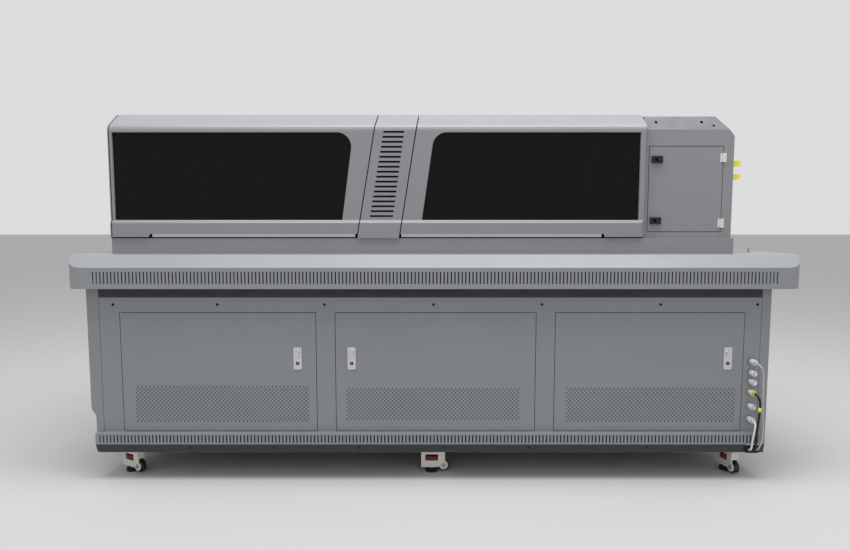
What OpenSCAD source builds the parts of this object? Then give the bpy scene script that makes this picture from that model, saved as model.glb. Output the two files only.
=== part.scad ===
// Flatbed UV printer: an enclosed gantry printer on a long sheet-metal cabinet with levelling casters.
// X runs along the length, -Y is the operator's side and Z is up. The origin is the centre of the
// deck skirt's plan, on the floor. All sizes are in millimetres.

/* [Deck and skirt] */
// Length of the deck skirt, the widest part
deck_w = 2914; // [2850:1:3500]
// Depth of the deck skirt, front to back
deck_d = 1100; // [1080:10:1320]
// Height of the deck's top above the floor
deck_z = 917; // [900:1:1000]
// Height of the skirt's vertical wall
skirt_wall_h = 84; // [70:1:100]
// Height of the sloped apron above the wall
apron_h = 48; // [36:1:56]
// How far the apron runs back to the deck
apron_run = 60; // [48:1:62]
// Corner radius of the skirt in plan
skirt_corner_r = 64; // [63:1:90]
// Sheet thickness of the skirt and the deck
deck_t = 3; // [2:0.5:5]

/* [Cabinet] */
// Distance of the cabinet's left face in from the skirt's left end
cabinet_inset_left = 64; // [40:1:90]
// Distance of the cabinet's right face in from the skirt's right end
cabinet_inset_right = 107; // [80:1:140]
// Distance of the front and rear panels in from the skirt
panel_inset = 45; // [40:1:80]
// Height of the panels' bottom edge above the floor
panel_z0 = 184; // [170:1:200]
// How far the plinth's ledge stands above the panels' bottom edge
plinth_lap = 12; // [6:1:20]
// Height of the panels' top edge above the floor
panel_z1 = 746; // [720:1:760]
// Thickness of the panels and the other cabinet sheets
sheet_t = 2; // [1.5:0.5:3]
// Width of the left side cover's front flange
left_flange_w = 48; // [44:1:60]
// Width of the right side cover's front flange
right_flange_w = 36; // [30:1:46]
// Outside size of the frame's square tubes
tube = 50; // [40:1:56]
// Wall thickness of the frame's square tubes
tube_wall = 3; // [2:0.5:5]
// Height of the frame's underside above the floor
frame_z0 = 108; // [100:1:120]
// How far the vented plinth stands out from the panels
plinth_out = 28; // [20:1:40]
// Height of the plinth's vertical face
plinth_face_h = 44; // [36:1:49]

/* [Doors] */
// Width of the left door
door_left_w = 784; // [680:1:800]
// Width of the middle door
door_mid_w = 805; // [680:1:820]
// Width of the right door
door_right_w = 758; // [650:1:770]
// Height of the doors
door_h = 485; // [405:1:520]
// Height of the doors' bottom edge above the panels' bottom edge
door_rise = 15; // [15:0.5:30]
// Distance from the panel's left edge to the left door
door_margin = 84; // [70:1:100]
// Width of the panel between the left and the middle door
post_cover_left = 80; // [76:1:110]
// Width of the panel between the middle and the right door
post_cover_right = 80; // [76:1:110]
// Depth of the door trays
door_t = 14; // [12:1:18]
// Gap round each door
door_gap = 2.5; // [2:0.5:4]
// Radius of the door hinge pins
door_pin_r = 2.5; // [2:0.1:3]

/* [Door locks] */
// Width of the lock plates
lock_w = 33; // [28:1:40]
// Height of the lock plates
lock_h = 91; // [80:1:110]
// Distance of the left door's lock from its free edge
lock_inset_left = 74; // [60:1:90]
// Distance of the middle door's lock from its free edge
lock_inset_mid = 64; // [60:1:90]
// Distance of the right door's lock from its free edge
lock_inset_right = 61; // [60:1:90]
// Height of the locks' centre above the doors' bottom edge
lock_rise = 300; // [200:1:380]
// Travel of the lock's push button
lock_button_travel = 3; // [2:0.5:4]

/* [Hood] */
// Distance of the hood's left end in from the skirt's left end
hood_inset_left = 138; // [110:1:240]
// Distance of the hood's right end in from the skirt's right end
hood_inset_right = 231; // [180:1:330]
// Distance of the hood's front in from the skirt's front
hood_inset_front = 123; // [110:1:160]
// Height of the hood's base strip
hood_base_h = 64; // [50:1:90]
// Height of the hood's crest above the deck
hood_h = 577; // [540:1:690]
// Height of the slope between the hood's front and its crest
hood_slope_h = 62; // [50:1:80]
// Angle of that slope above the horizontal
hood_slope_angle = 34; // [30:1:40]
// Radius where the slope meets the roof
hood_crest_r = 60; // [30:1:90]
// Thickness of the hood's sheets
hood_t = 3; // [2:0.5:4]
// Distance of the cover hinges behind the hood's front
hood_hinge_back = 327; // [280:1:360]
// Angle between the upright and the pillar's left edge
pillar_lean_left = 9.5; // [6:0.5:12]
// Angle between the upright and the pillar's right edge
pillar_lean_right = 9.1; // [6:0.1:10]
// Width of the centre pillar at its foot
pillar_foot_w = 168; // [150:1:220]
// Distance from the hood's left end to the pillar's foot
pillar_rise_x = 1007; // [850:1:1100]
// Width of the end box at the hood's right end
end_box_w = 360; // [320:1:420]
// How far the end box stands back from the covers
end_box_back = 27; // [10:1:40]
// Gap round each cover
cover_gap = 4.5; // [4.5:0.5:6]
// Radius of the cover hinge pins
cover_pin_r = 3; // [2:0.5:4]

/* [Windows] */
// Height of the windows
window_h = 353; // [300:1:360]
// Height of the windows' bottom edge above the covers' bottom edge
window_rise = 69; // [50:1:80]
// Depth of the windows behind the covers' faces
window_recess = 10; // [6:1:16]
// Thickness of the windows
window_t = 4; // [3:0.5:6]
// Radius of each window's rounded upper corner
window_corner_r = 58; // [30:1:90]
// Width of the stile at the left cover's outer end
window_stile_left = 9; // [8:1:30]
// Width of the stile at the right cover's outer end
window_stile_right = 26; // [26:1:60]
// Width of the left cover between its window's lower corner and the pillar
window_rail_left = 74; // [50:1:90]
// Width of the right cover between its window's lower corner and the pillar
window_rail_right = 83; // [50:1:90]
// Angle between the upright and the left window's inner edge
window_lean_left = 7.7; // [5:0.1:10]
// Angle between the upright and the right window's inner edge
window_lean_right = 8.2; // [5:0.1:10]

/* [Printing gear] */
// Height of the vacuum bed
bed_h = 58; // [40:1:60]
// Length of the vacuum bed
bed_w = 1950; // [1700:10:2000]
// Depth of the vacuum bed
bed_d = 500; // [400:10:560]
// Travel of the gantry from the rear to the front
gantry_travel = 440; // [300:10:440]
// Width of the print carriage
carriage_w = 220; // [180:1:230]
// Height of the carriage's shell
carriage_h = 215; // [180:1:240]
// Gap between the print heads and the vacuum bed
head_gap = 5; // [2:0.5:8]
// Lift of the print heads
head_lift = 80; // [60:1:90]
// Lift of the caps
cap_lift = 8; // [4:0.5:12]

/* [Casters] */
// Radius of the caster wheels
caster_wheel_r = 25; // [20:1:27]
// Width of the caster wheels
caster_wheel_w = 22; // [16:1:24]
// Radius of the levelling feet
caster_foot_r = 27; // [20:1:30]
// Height of the wheels above the floor while the feet carry the machine
caster_wheel_lift = 4; // [2:0.5:6]
// Distance of the casters behind the front panel
caster_setback = 80; // [60:1:90]

/* [Hidden] */

$fn = 48;
cut = 1;              // how far a cutting shape runs past the face it opens
run_gap = 0.3;        // clearance between flat faces that move past each other
pin_play = 0.05;      // radial clearance of a pin in its bore

// --- cabinet, derived ---
left_x = -deck_w / 2 + cabinet_inset_left;
right_x = deck_w / 2 - cabinet_inset_right;
panel_x0 = left_x + left_flange_w;
panel_x1 = right_x - right_flange_w;
panel_y = deck_d / 2 - panel_inset;
frame_y = panel_y - sheet_t;
deck_under = deck_z - deck_t;
apron_z = deck_z - apron_h;
skirt_z0 = apron_z - skirt_wall_h;
apron_inner_z = deck_under - (apron_run + 1 - deck_t) * apron_h / apron_run;
plinth_z1 = panel_z0 + plinth_lap;
plinth_z0 = plinth_z1 - plinth_face_h;
plinth_foot_z = frame_z0 + 8;
plinth_bevel_run = 13;
plinth_inset_left = 25;
plinth_inset_right = 15;
panel_seam = 1.5;     // joint between the front panel and the side covers

slot_pitch = 14.2;
slot_w = 5;

// --- doors, derived: [left edge, right edge, 1 when the hinge is at the left, lock inset] ---
door_x0 = panel_x0 + door_margin;
mid_x0 = door_x0 + door_left_w + post_cover_left;
last_x0 = mid_x0 + door_mid_w + post_cover_right;
DOORS = [
  [door_x0, door_x0 + door_left_w, 1, lock_inset_left],
  [mid_x0, mid_x0 + door_mid_w, 0, lock_inset_mid],
  [last_x0, last_x0 + door_right_w, 1, lock_inset_right]
];
door_z0 = panel_z0 + door_rise;
door_z1 = door_z0 + door_h;
door_pivot = 4;       // distance of a hinge axis in from the door's edge and face
flange_t = 2;         // thickness of the fold round each door opening
pin_l = 12;           // length of a hinge pin inside the door
lock_z = door_z0 + lock_rise;
lock_plate_t = 2.5;
lock_button_r = 8.5;
lock_button_up = 22;  // height of the button above the lock's centre
lock_key_r = 7;
lock_key_down = 20;   // distance of the key barrel below the lock's centre
lock_case_d = 12;
tongue_w = 16;
tongue_t = 3;
tongue_reach = 8;     // how far a turned tongue laps the opening's fold

// --- frame, derived ---
post_inset_left = 48; // keeps the left post clear of the side cover's step
POST_X = [
  left_x + post_inset_left,
  (DOORS[0][1] + DOORS[1][0]) / 2,
  (DOORS[1][1] + DOORS[2][0]) / 2,
  right_x - sheet_t - tube / 2
];
frame_x0 = POST_X[0] - tube / 2;
frame_x1 = POST_X[3] + tube / 2;
frame_top = deck_under - 14; // clear of the apron's folded underside
floor_z = frame_z0 + tube;   // top of the floor pan

// --- casters, derived: [x, y, turn about the stem] ---
caster_y = panel_y - caster_setback;
caster_end_left = 131;
caster_end_right = 105;
caster_mid_x = 5;
CASTERS = [
  [left_x + caster_end_left, -caster_y, -30], [caster_mid_x, -caster_y, 0],
  [right_x - caster_end_right, -caster_y, -80], [left_x + caster_end_left, caster_y, 130],
  [caster_mid_x, caster_y, 180], [right_x - caster_end_right, caster_y, 60]
];
caster_plate = 86;
caster_plate_t = 5;
caster_top = frame_z0 - caster_plate_t;
kingpin_r = 8;
kingpin_l = 21;
caster_axle_r = 5;
caster_axle_x = 36;
caster_foot_x = -14;
caster_screw_r = 6;
thumb_r = 23;
thumb_h = 14;
window_low = 48;      // height of the thumbwheel's window above the floor
window_high = 75;
housing_half = 17;    // half the housing's width

// --- hood, derived ---
hood_x0 = -deck_w / 2 + hood_inset_left;
hood_x1 = deck_w / 2 - hood_inset_right;
hood_y = deck_d / 2 - hood_inset_front;
hood_base_z = deck_z + hood_base_h;
hood_lip = 8;         // how far the covers' lower band stands out
hood_bend_r = 35;     // radius where the hood's front meets its slope
cover_lift = 5;       // gap between the base strip and the covers
cover_z0 = hood_base_z + cover_lift;
crest_z = deck_z + hood_h;
slope_z = crest_z - hood_slope_h;
end_x0 = hood_x1 - end_box_w;
hinge_y = -hood_y + hood_hinge_back;
knuckle_r = 6;
hinge_z = crest_z + knuckle_r;
cover_back = hinge_y - cover_gap;
roof_front = hinge_y + cover_gap;
left_cover_x0 = hood_x0 + hood_t + cover_gap;
right_cover_x1 = end_x0 - cover_gap;
corner_r = 25;        // radius of the right cover's outer corner
side_fold = 25;       // depth of the folds down the covers' sides
pillar_fold = 8;      // depth of the right cover's fold beside the leaning pillar
pillar_x0 = hood_x0 + pillar_rise_x;
function pillar_left(z) = pillar_x0 + (z - cover_z0) * tan(pillar_lean_left);
function pillar_right(z) = pillar_x0 + pillar_foot_w + (z - cover_z0) * tan(pillar_lean_right);
HINGES = [
  [left_cover_x0 + 160, left_cover_x0 + 860],
  [right_cover_x1 - 810, right_cover_x1 - 160]
];
hinge_half = 15;
hinge_end = 31;

window_z0 = cover_z0 + window_rise;
window_z1 = window_z0 + window_h;
sill_h = 12;
notch_h = 13;
lip_fold = 20;
notch_x_left = left_cover_x0 + 147;
notch_x_right = right_cover_x1 - 164;

// --- end box, derived ---
end_y = -hood_y + end_box_back;
end_top = crest_z - 13;
end_slope_z = end_top - 58;
end_slope_run = 40;
end_chamfer_x = 66;
end_chamfer_z = 85;
service_x0 = end_x0 + 15;
service_x1 = hood_x1 - 44;
service_z0 = hood_base_z + 27;
service_z1 = service_z0 + 346;
service_gap = 2.5;
service_hinge_x = service_x1 + 1.5;
service_knuckle_r = 5;
service_pin_r = 2;
SERVICE_HINGE_Z = [service_z0 + 34, service_z1 - 45];
BOLT_Z = [service_z0 + 44, service_z1 - 53];
bolt_x0 = service_x0 + 9;
bolt_travel = 12;
bolt_slot_half = 5.2;

// --- printing gear, derived ---
bed_x0 = hood_x0 + 169;
bed_y0 = -hood_y + 77;
bed_top = deck_z + bed_h;
RAIL_X = [hood_x0 + 84, hood_x1 - 86];
rail_z = deck_z + 40;
rail_top = rail_z + 20;
rail_half = 10;
gantry_y = hood_y - 167;
leg_half = 30;
beam_z0 = rail_top + 83;
beam_h = 120;
beam_d = 80;
track = 12;           // size of the beam's square tracks
track_y = gantry_y - beam_d / 2;
TRACK_Z = [beam_z0 + 15, beam_z0 + 96];
carriage_x = RAIL_X[1] - 155;
carriage_y0 = track_y - 160;
carriage_y1 = track_y - track - 10;
carriage_z0 = beam_z0 + 15;
head_z = bed_top + head_gap;
rod_r = 6;
rod_x = 50;
rod_y = carriage_y1 - 26;
cap_half = 92;

// --- helpers ---

// Box from one corner to the opposite corner
module box(lo, hi) {
  translate(lo)
    cube(hi - lo);
}

// Solid whose X-Z outline runs from y0 to y1
module along_y(y0, y1) {
  translate([0, y1, 0])
    rotate([90, 0, 0])
      linear_extrude(y1 - y0)
        children();
}

// Solid whose Y-Z outline runs from x0 to x1
module along_x(x0, x1) {
  translate([x0, 0, 0])
    rotate([90, 0, 90])
      linear_extrude(x1 - x0)
        children();
}

// Cylinders along each axis, centred on a point of their low end
module rod_along_x(p, r, l) {
  translate(p)
    rotate([0, 90, 0])
      cylinder(r = r, h = l);
}

module rod_along_y(p, r, l) {
  translate(p + [0, l, 0])
    rotate([90, 0, 0])
      cylinder(r = r, h = l);
}

// Square tube between two corners, open along one axis (0 = X, 1 = Y, 2 = Z)
module square_tube(lo, hi, axis) {
  wall = [for (i = [0:2]) i == axis ? -cut : tube_wall];
  difference() {
    box(lo, hi);
    box(lo + wall, hi - wall);
  }
}

// Copies the children at the front and, mirrored, at the rear
module front_and_rear() {
  children();
  mirror([0, 1, 0])
    children();
}

function unit(v) = v / norm(v);

// Points of the arc of radius r that rounds corner p between its neighbours a and b
function corner_arc(a, p, b, r, n = 10) =
  let (
    u = unit(a - p),
    w = unit(b - p),
    half = acos(u * w) / 2,
    c = p + unit(u + w) * r / sin(half),
    s = p + u * r / tan(half) - c,
    e = p + w * r / tan(half) - c,
    a0 = atan2(s[1], s[0]),
    turn = (atan2(e[1], e[0]) - a0 + 540) % 360 - 180
  )
  [for (i = [0:n]) c + r * [cos(a0 + turn * i / n), sin(a0 + turn * i / n)]];

// Half-widths of a plate with rounded corners, as an exact outline
module rounded_plate(w, h, r) {
  square([w - 2 * r, h], center = true);
  square([w, h - 2 * r], center = true);
  for (x = [-1, 1], z = [-1, 1])
    translate([x * (w / 2 - r), z * (h / 2 - r)])
      circle(r);
}

// Flat strip with a row of upright slots, in the X-Z plane
module slotted_outline(x0, x1, z0, z1, slot_x0, slot_x1, slot_z0, slot_z1) {
  count = floor((slot_x1 - slot_x0) / slot_pitch);
  difference() {
    translate([x0, z0])
      square([x1 - x0, z1 - z0]);
    for (i = [0:count])
      translate([slot_x0 + i * slot_pitch, slot_z0])
        square([slot_w, slot_z1 - slot_z0]);
  }
}

// --- cabinet ---

module base_frame() {
  color("dimgray") {
    front_and_rear() {
      square_tube([frame_x0, -frame_y, frame_z0], [frame_x1, -frame_y + tube, frame_z0 + tube], 0);
      square_tube([frame_x0, -frame_y, frame_top - tube], [frame_x1, -frame_y + tube, frame_top], 0);
      for (x = POST_X)
        square_tube(
          [x - tube / 2, -frame_y, frame_z0 + tube],
          [x + tube / 2, -frame_y + tube, frame_top - tube], 2
        );
    }
    for (i = [0:3], low = [0, 1]) {
      x = POST_X[i];
      top = i == 0 || i == 3 ? frame_top : deck_under;
      z = low == 1 ? frame_z0 : top - tube;
      square_tube([x - tube / 2, -frame_y + tube, z], [x + tube / 2, frame_y - tube, z + tube], 1);
    }
    box([frame_x0, -frame_y + tube, floor_z - sheet_t], [frame_x1, frame_y - tube, floor_z]);
  }
  color("slategray")
    for (c = CASTERS)
      translate([c[0], c[1], 0]) {
        box([-caster_plate / 2, -caster_plate / 2, caster_top], [caster_plate / 2, caster_plate / 2, frame_z0]);
        translate([0, 0, caster_top - kingpin_l])
          cylinder(r = kingpin_r, h = kingpin_l);
      }
}

// Fold round one door opening, with the two hinge pins that stand in it
module door_frame(door) {
  x0 = door[0] - door_gap;
  x1 = door[1] + door_gap;
  z0 = door_z0 - door_gap;
  z1 = door_z1 + door_gap;
  pin_x = door[2] ? door[0] + door_pivot : door[1] - door_pivot;
  difference() {
    box([x0 - flange_t, -frame_y, z0 - flange_t], [x1 + flange_t, -panel_y + door_t, z1 + flange_t]);
    box([x0, -frame_y - cut, z0], [x1, -panel_y + door_t + cut, z1]);
  }
  for (z = [z0, z1 - pin_l - door_gap])
    translate([pin_x, -panel_y + door_pivot, z])
      cylinder(r = door_pin_r, h = pin_l + door_gap);
}

socket_x = panel_x1 - 35;
SOCKET_Z = [for (drop = [258, 303, 340, 382, 440, 494]) panel_z1 - drop];
socket_bore_r = 8.2;

module front_panel() {
  color("gray") {
    difference() {
      box([panel_x0 + panel_seam, -panel_y, panel_z0], [panel_x1 - panel_seam, -frame_y, panel_z1]);
      for (door = DOORS)
        box(
          [door[0] - door_gap, -panel_y - cut, door_z0 - door_gap],
          [door[1] + door_gap, -frame_y + cut, door_z1 + door_gap]
        );
      for (z = SOCKET_Z)
        rod_along_y([socket_x, -panel_y - cut, z], socket_bore_r, sheet_t + 2 * cut);
    }
    for (door = DOORS)
      door_frame(door);
  }
}

// Rear panel and the two side covers, the left one stepped in near the floor
module outer_panels() {
  step_in = 18;
  step_z1 = panel_z0 + 106;
  step_z0 = panel_z0 + 79;
  rear_x0 = panel_x0;
  module left_outline(t) {
    polygon([
      [left_x + t, frame_top], [left_x + t, step_z1], [left_x + step_in + t, step_z0],
      [left_x + step_in + t, panel_z0], [panel_x0, panel_z0], [panel_x0, frame_top]
    ]);
  }
  color("gray") {
    box([rear_x0, frame_y, panel_z0], [panel_x1, panel_y, panel_z1]);
    difference() {
      along_y(-panel_y, panel_y)
        left_outline(0);
      along_y(-frame_y, frame_y)
        left_outline(sheet_t);
    }
    difference() {
      box([panel_x1, -panel_y, panel_z0], [right_x, panel_y, frame_top]);
      box([panel_x1 - cut, -frame_y, panel_z0 - cut], [right_x - sheet_t, frame_y, frame_top + cut]);
    }
  }
}

module plinth_vents() {
  x0 = left_x + plinth_inset_left;
  x1 = right_x - plinth_inset_right;
  face_y = -panel_y - plinth_out;
  bevel_y = face_y + plinth_bevel_run;
  margin = 16;
  color("gray")
    front_and_rear() {
      along_y(face_y, face_y + sheet_t)
        slotted_outline(
          x0, x1, plinth_z0, plinth_z1 - sheet_t,
          x0 + margin, x1 - margin - slot_w, plinth_z0 + 6, plinth_z1 - 6
        );
      box([x0, face_y, plinth_z1 - sheet_t], [x1, -panel_y, plinth_z1]);
      along_x(x0, x1)
        polygon([
          [face_y, plinth_z0], [bevel_y, plinth_foot_z + sheet_t],
          [bevel_y + sheet_t, plinth_foot_z + sheet_t], [face_y + sheet_t, plinth_z0]
        ]);
      box([x0, bevel_y, plinth_foot_z], [x1, -frame_y, plinth_foot_z + sheet_t]);
    }
}

// Dark upper panels behind the skirt
module top_fascia() {
  color("darkslategray")
    front_and_rear()
      box([panel_x0, -panel_y, panel_z1], [panel_x1, -frame_y, frame_top]);
}

// Half of the deck's section, Y against Z, and of the hollow under it
DECK_SIDE = [[-deck_d / 2, skirt_z0], [-deck_d / 2, apron_z], [-deck_d / 2 + apron_run, deck_z]];
HOLLOW_SIDE = [
  [-deck_d / 2 + deck_t, skirt_z0 - cut], [-deck_d / 2 + deck_t, apron_inner_z],
  [-deck_d / 2 + apron_run + 1, deck_under]
];

// Closes a half section with its mirror image
function whole(side) = concat(side, [for (i = [len(side) - 1:-1:0]) [-side[i][0], side[i][1]]]);

// Deck with its apron along the front and rear, and the slotted skirt round it
module deck_skirt() {
  margin_left = 115;
  margin_right = 108;
  pin_inset = 103;
  count = floor((deck_w - margin_left - margin_right) / slot_pitch);
  color("silver") {
    difference() {
      intersection() {
        along_x(-deck_w / 2, deck_w / 2)
          polygon(whole(DECK_SIDE));
        translate([0, 0, skirt_z0 - cut])
          linear_extrude(deck_z - skirt_z0 + 2 * cut)
            rounded_plate(deck_w, deck_d, skirt_corner_r);
      }
      intersection() {
        along_x(-deck_w / 2, deck_w / 2)
          polygon(whole(HOLLOW_SIDE));
        translate([0, 0, skirt_z0 - 2 * cut])
          linear_extrude(deck_z - skirt_z0 + 2 * cut)
            rounded_plate(deck_w - 2 * deck_t, deck_d - 2 * deck_t, skirt_corner_r - deck_t);
      }
      for (i = [0:count])
        translate([-deck_w / 2 + margin_left + i * slot_pitch, 0, skirt_z0 + 20])
          box([0, -deck_d / 2 - cut, 0], [slot_w, deck_d / 2 + cut, apron_z - skirt_z0 - 36]);
    }
    translate([deck_w / 2 - pin_inset, -300, deck_z])
      cylinder(r = 2.5, h = 18);
  }
}

// Dark domed screws along the top of the front and rear panels
module panel_screws() {
  along = [58, 476, 905, 1342, 1776, 2252, 2640];
  color("black")
    front_and_rear()
      for (x = along)
        rod_along_y([panel_x0 + x, -panel_y - 2.5, panel_z1 - 28], 5, 2.5);
}

// --- doors and locks ---

// One door tray. Its hinge bores sit in corner blocks, and a lock plate and case hold the lock.
module door(d) {
  hinge_x = d[2] ? d[0] + door_pivot : d[1] - door_pivot;
  lock_x = lock_centre(d);
  block = 12;
  color("gray")
    difference() {
      union() {
        difference() {
          box([d[0], -panel_y, door_z0], [d[1], -panel_y + door_t, door_z1]);
          box(
            [d[0] + sheet_t, -panel_y + sheet_t, door_z0 + sheet_t],
            [d[1] - sheet_t, -panel_y + door_t + cut, door_z1 - sheet_t]
          );
        }
        for (z = [door_z0, door_z1 - pin_l - 2])
          box(
            [hinge_x - (d[2] ? door_pivot : block - door_pivot), -panel_y, z],
            [hinge_x + (d[2] ? block - door_pivot : door_pivot), -panel_y + block, z + pin_l + 2]
          );
        box(
          [lock_x - lock_w / 2 + 3, -panel_y + sheet_t, lock_z - lock_h / 2 + 5],
          [lock_x + lock_w / 2 - 3, -panel_y + lock_case_d, lock_z + lock_h / 2 - 5]
        );
      }
      for (z = [door_z0 - cut, door_z1 - pin_l])
        translate([hinge_x, -panel_y + door_pivot, z])
          cylinder(r = door_pin_r + pin_play, h = pin_l + cut);
      lock_bores(lock_x);
    }
  color("silver")
    difference() {
      along_y(-panel_y - lock_plate_t, -panel_y)
        translate([lock_x, lock_z])
          rounded_plate(lock_w, lock_h, 5);
      lock_bores(lock_x);
    }
}

function lock_centre(d) = d[2] ? d[1] - d[3] : d[0] + d[3];

module lock_bores(lock_x) {
  depth = lock_plate_t + lock_case_d + 2 * cut;
  y = -panel_y - lock_plate_t - cut;
  rod_along_y([lock_x, y, lock_z + lock_button_up], lock_button_r + run_gap, depth);
  rod_along_y([lock_x, y, lock_z - lock_key_down], lock_key_r + pin_play, depth);
}

module lock_button(d) {
  out = lock_button_travel + 1.5;
  color("whitesmoke")
    rod_along_y(
      [lock_centre(d), -panel_y - lock_plate_t - out, lock_z + lock_button_up],
      lock_button_r, out + lock_plate_t + lock_case_d - lock_button_travel - 1
    );
}

// Key barrel with the tongue behind the door, hanging down while unlocked
module lock_cam(d) {
  x = lock_centre(d);
  z = lock_z - lock_key_down;
  back = -panel_y + door_t + 2.3;
  l = d[3] + door_gap + flange_t + tongue_reach;
  color("black") {
    rod_along_y([x, -panel_y - lock_plate_t - 1, z], lock_key_r, back + panel_y + lock_plate_t + 1);
    box([x - tongue_w / 2, back, z - l], [x + tongue_w / 2, back + tongue_t, z + tongue_w / 2]);
  }
}

// --- casters ---

module at_caster(c) {
  translate([c[0], c[1], 0])
    rotate([0, 0, c[2]])
      children();
}

module caster_housing(c) {
  axle_z = caster_wheel_r + caster_wheel_lift;
  inner = caster_wheel_w / 2 + 1;
  block_x0 = caster_foot_x - 44;
  block_x1 = caster_axle_x - caster_wheel_r - 3;
  top = caster_top - 2;
  color("ivory")
    at_caster(c)
      difference() {
        union() {
          box([block_x0, -housing_half, 20], [block_x1, housing_half, top]);
          box([block_x1, -housing_half, 60], [caster_axle_x + 6, housing_half, top - 8]);
          for (side = [-1, 1]) {
            y0 = side > 0 ? inner : -housing_half;
            box([block_x1, y0, 22], [caster_axle_x, y0 + housing_half - inner, 60]);
            box([caster_axle_x, y0, axle_z], [caster_axle_x + 6, y0 + housing_half - inner, 60]);
            rod_along_y([caster_axle_x, y0, axle_z], 18, housing_half - inner);
          }
          rod_along_y([caster_axle_x, -housing_half, axle_z], caster_axle_r, 2 * housing_half);
        }
        translate([0, 0, caster_top - kingpin_l - 0.5])
          cylinder(r = kingpin_r + pin_play, h = kingpin_l + cut);
        box(
          [caster_foot_x - thumb_r - 4, -housing_half - cut, window_low],
          [caster_foot_x + thumb_r + 4, housing_half + cut, window_high]
        );
        translate([caster_foot_x, 0, 20 - cut])
          cylinder(r = caster_screw_r + run_gap, h = window_low - 20 + 2 * cut);
      }
}

module caster_wheel(c) {
  axle_z = caster_wheel_r + caster_wheel_lift;
  color("black")
    at_caster(c)
      difference() {
        rod_along_y([caster_axle_x, -caster_wheel_w / 2, axle_z], caster_wheel_r, caster_wheel_w);
        rod_along_y(
          [caster_axle_x, -caster_wheel_w / 2 - cut, axle_z],
          caster_axle_r + pin_play, caster_wheel_w + 2 * cut
        );
      }
}

// Levelling foot: pad, screw and thumbwheel
module caster_foot(c) {
  pad_h = 11;
  thumb_z = 54;
  at_caster(c)
    translate([caster_foot_x, 0, 0]) {
      color("black")
        cylinder(r = caster_foot_r, h = pad_h);
      color("silver")
        translate([0, 0, pad_h])
          cylinder(r = caster_screw_r, h = thumb_z - pad_h);
      color("darkred")
        translate([0, 0, thumb_z])
          cylinder(r = thumb_r, h = thumb_h);
    }
}

// --- hood ---

// Points of the arc about c from angle a0 to a1
function arc(c, r, a0, a1, n) =
  [for (i = [0:n]) let (t = a0 + (a1 - a0) * i / n) c + r * [cos(t), sin(t)]];

// Section of the hood, Y against Z: proud lower band, upright front, bend, slope, crest and flat roof
function hood_section(inset, back, low) =
  let (
    a = hood_slope_angle,
    front = -hood_y + inset,
    bend = [-hood_y + hood_bend_r, slope_z - hood_bend_r * tan((90 - a) / 2)],
    crest_y = -hood_y + hood_crest_r * sin(a)
      + (crest_z - hood_crest_r + hood_crest_r * cos(a) - slope_z) / tan(a)
  )
  concat(
    [
      [back, low], [front - hood_lip, low], [front - hood_lip, window_z0 - sill_h - inset / 2],
      [front, window_z0 - inset / 2]
    ],
    arc(bend, hood_bend_r - inset, 180, 90 + a, 4),
    arc([crest_y, crest_z - hood_crest_r], hood_crest_r - inset, 90 + a, 90, 6),
    [[back, crest_z - inset]]
  );

// Bent sheet over the hood's section, trimmed to an X-Z outline; the children are outer and inner outline
module hood_skin(x0, x1, back, low) {
  difference() {
    intersection() {
      along_x(x0, x1)
        polygon(hood_section(0, back, low));
      along_y(-hood_y - hood_lip - cut, back + cut)
        children(0);
    }
    intersection() {
      along_x(x0, x1)
        polygon(hood_section(hood_t, back + cut, low - cut));
      along_y(-hood_y - hood_lip - cut, back + 2 * cut)
        children(1);
    }
    box([x0 - cut, -hood_y + side_fold, low - cut], [x1 + cut, back + cut, slope_z - 20]);
  }
}

// Outlines of the covers and the pillar in front view, drawn in by i
module left_cover_outline(i) {
  z0 = cover_z0 - i;
  z1 = crest_z + cut;
  polygon([
    [left_cover_x0 + i, z0], [pillar_left(z0) - cover_gap - i, z0],
    [pillar_left(z1) - cover_gap - i, z1], [left_cover_x0 + i, z1]
  ]);
}

module right_cover_outline(i) {
  z0 = cover_z0 - i;
  z1 = crest_z + cut;
  polygon([
    [pillar_right(z0) + cover_gap + i, z0], [right_cover_x1 - i, z0],
    [right_cover_x1 - i, z1], [pillar_right(z1) + cover_gap + i, z1]
  ]);
}

module pillar_outline(i) {
  z0 = hood_base_z - i;
  z1 = crest_z + cut;
  polygon([
    [pillar_left(z0) + i, z0], [pillar_right(z0) - i, z0],
    [pillar_right(z1) - i, z1], [pillar_left(z1) + i, z1]
  ]);
}

module left_window_outline() {
  inner_x = pillar_left(window_z0) - window_rail_left;
  a = [left_cover_x0 + window_stile_left, window_z1];
  p = [inner_x + window_h * tan(window_lean_left), window_z1];
  b = [inner_x, window_z0];
  polygon(concat([[a[0], window_z0], b], corner_arc(b, p, a, window_corner_r), [a]));
}

module right_window_outline() {
  inner_x = pillar_right(window_z0) + window_rail_right;
  a = [right_cover_x1 - window_stile_right, window_z1];
  p = [inner_x + window_h * tan(window_lean_right), window_z1];
  b = [inner_x, window_z0];
  polygon(concat([[a[0], window_z0], a], corner_arc(a, p, b, window_corner_r), [b]));
}

// Fold round a window whose outline is the child
module window_frame_fold() {
  along_y(-hood_y + hood_t, -hood_y + window_recess)
    difference() {
      offset(delta = sheet_t)
        children();
      children();
    }
}

// Knuckles and leaf of one cover hinge; the fixed pair carries the pin
module cover_knuckle(x) {
  difference() {
    union() {
      rod_along_x([x - hinge_half, hinge_y, hinge_z], knuckle_r, 2 * hinge_half);
      box([x - hinge_half, hinge_y - 28, crest_z], [x + hinge_half, hinge_y, crest_z + sheet_t]);
    }
    rod_along_x([x - hinge_half - cut, hinge_y, hinge_z], cover_pin_r + pin_play, 2 * (hinge_half + cut));
  }
}

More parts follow.
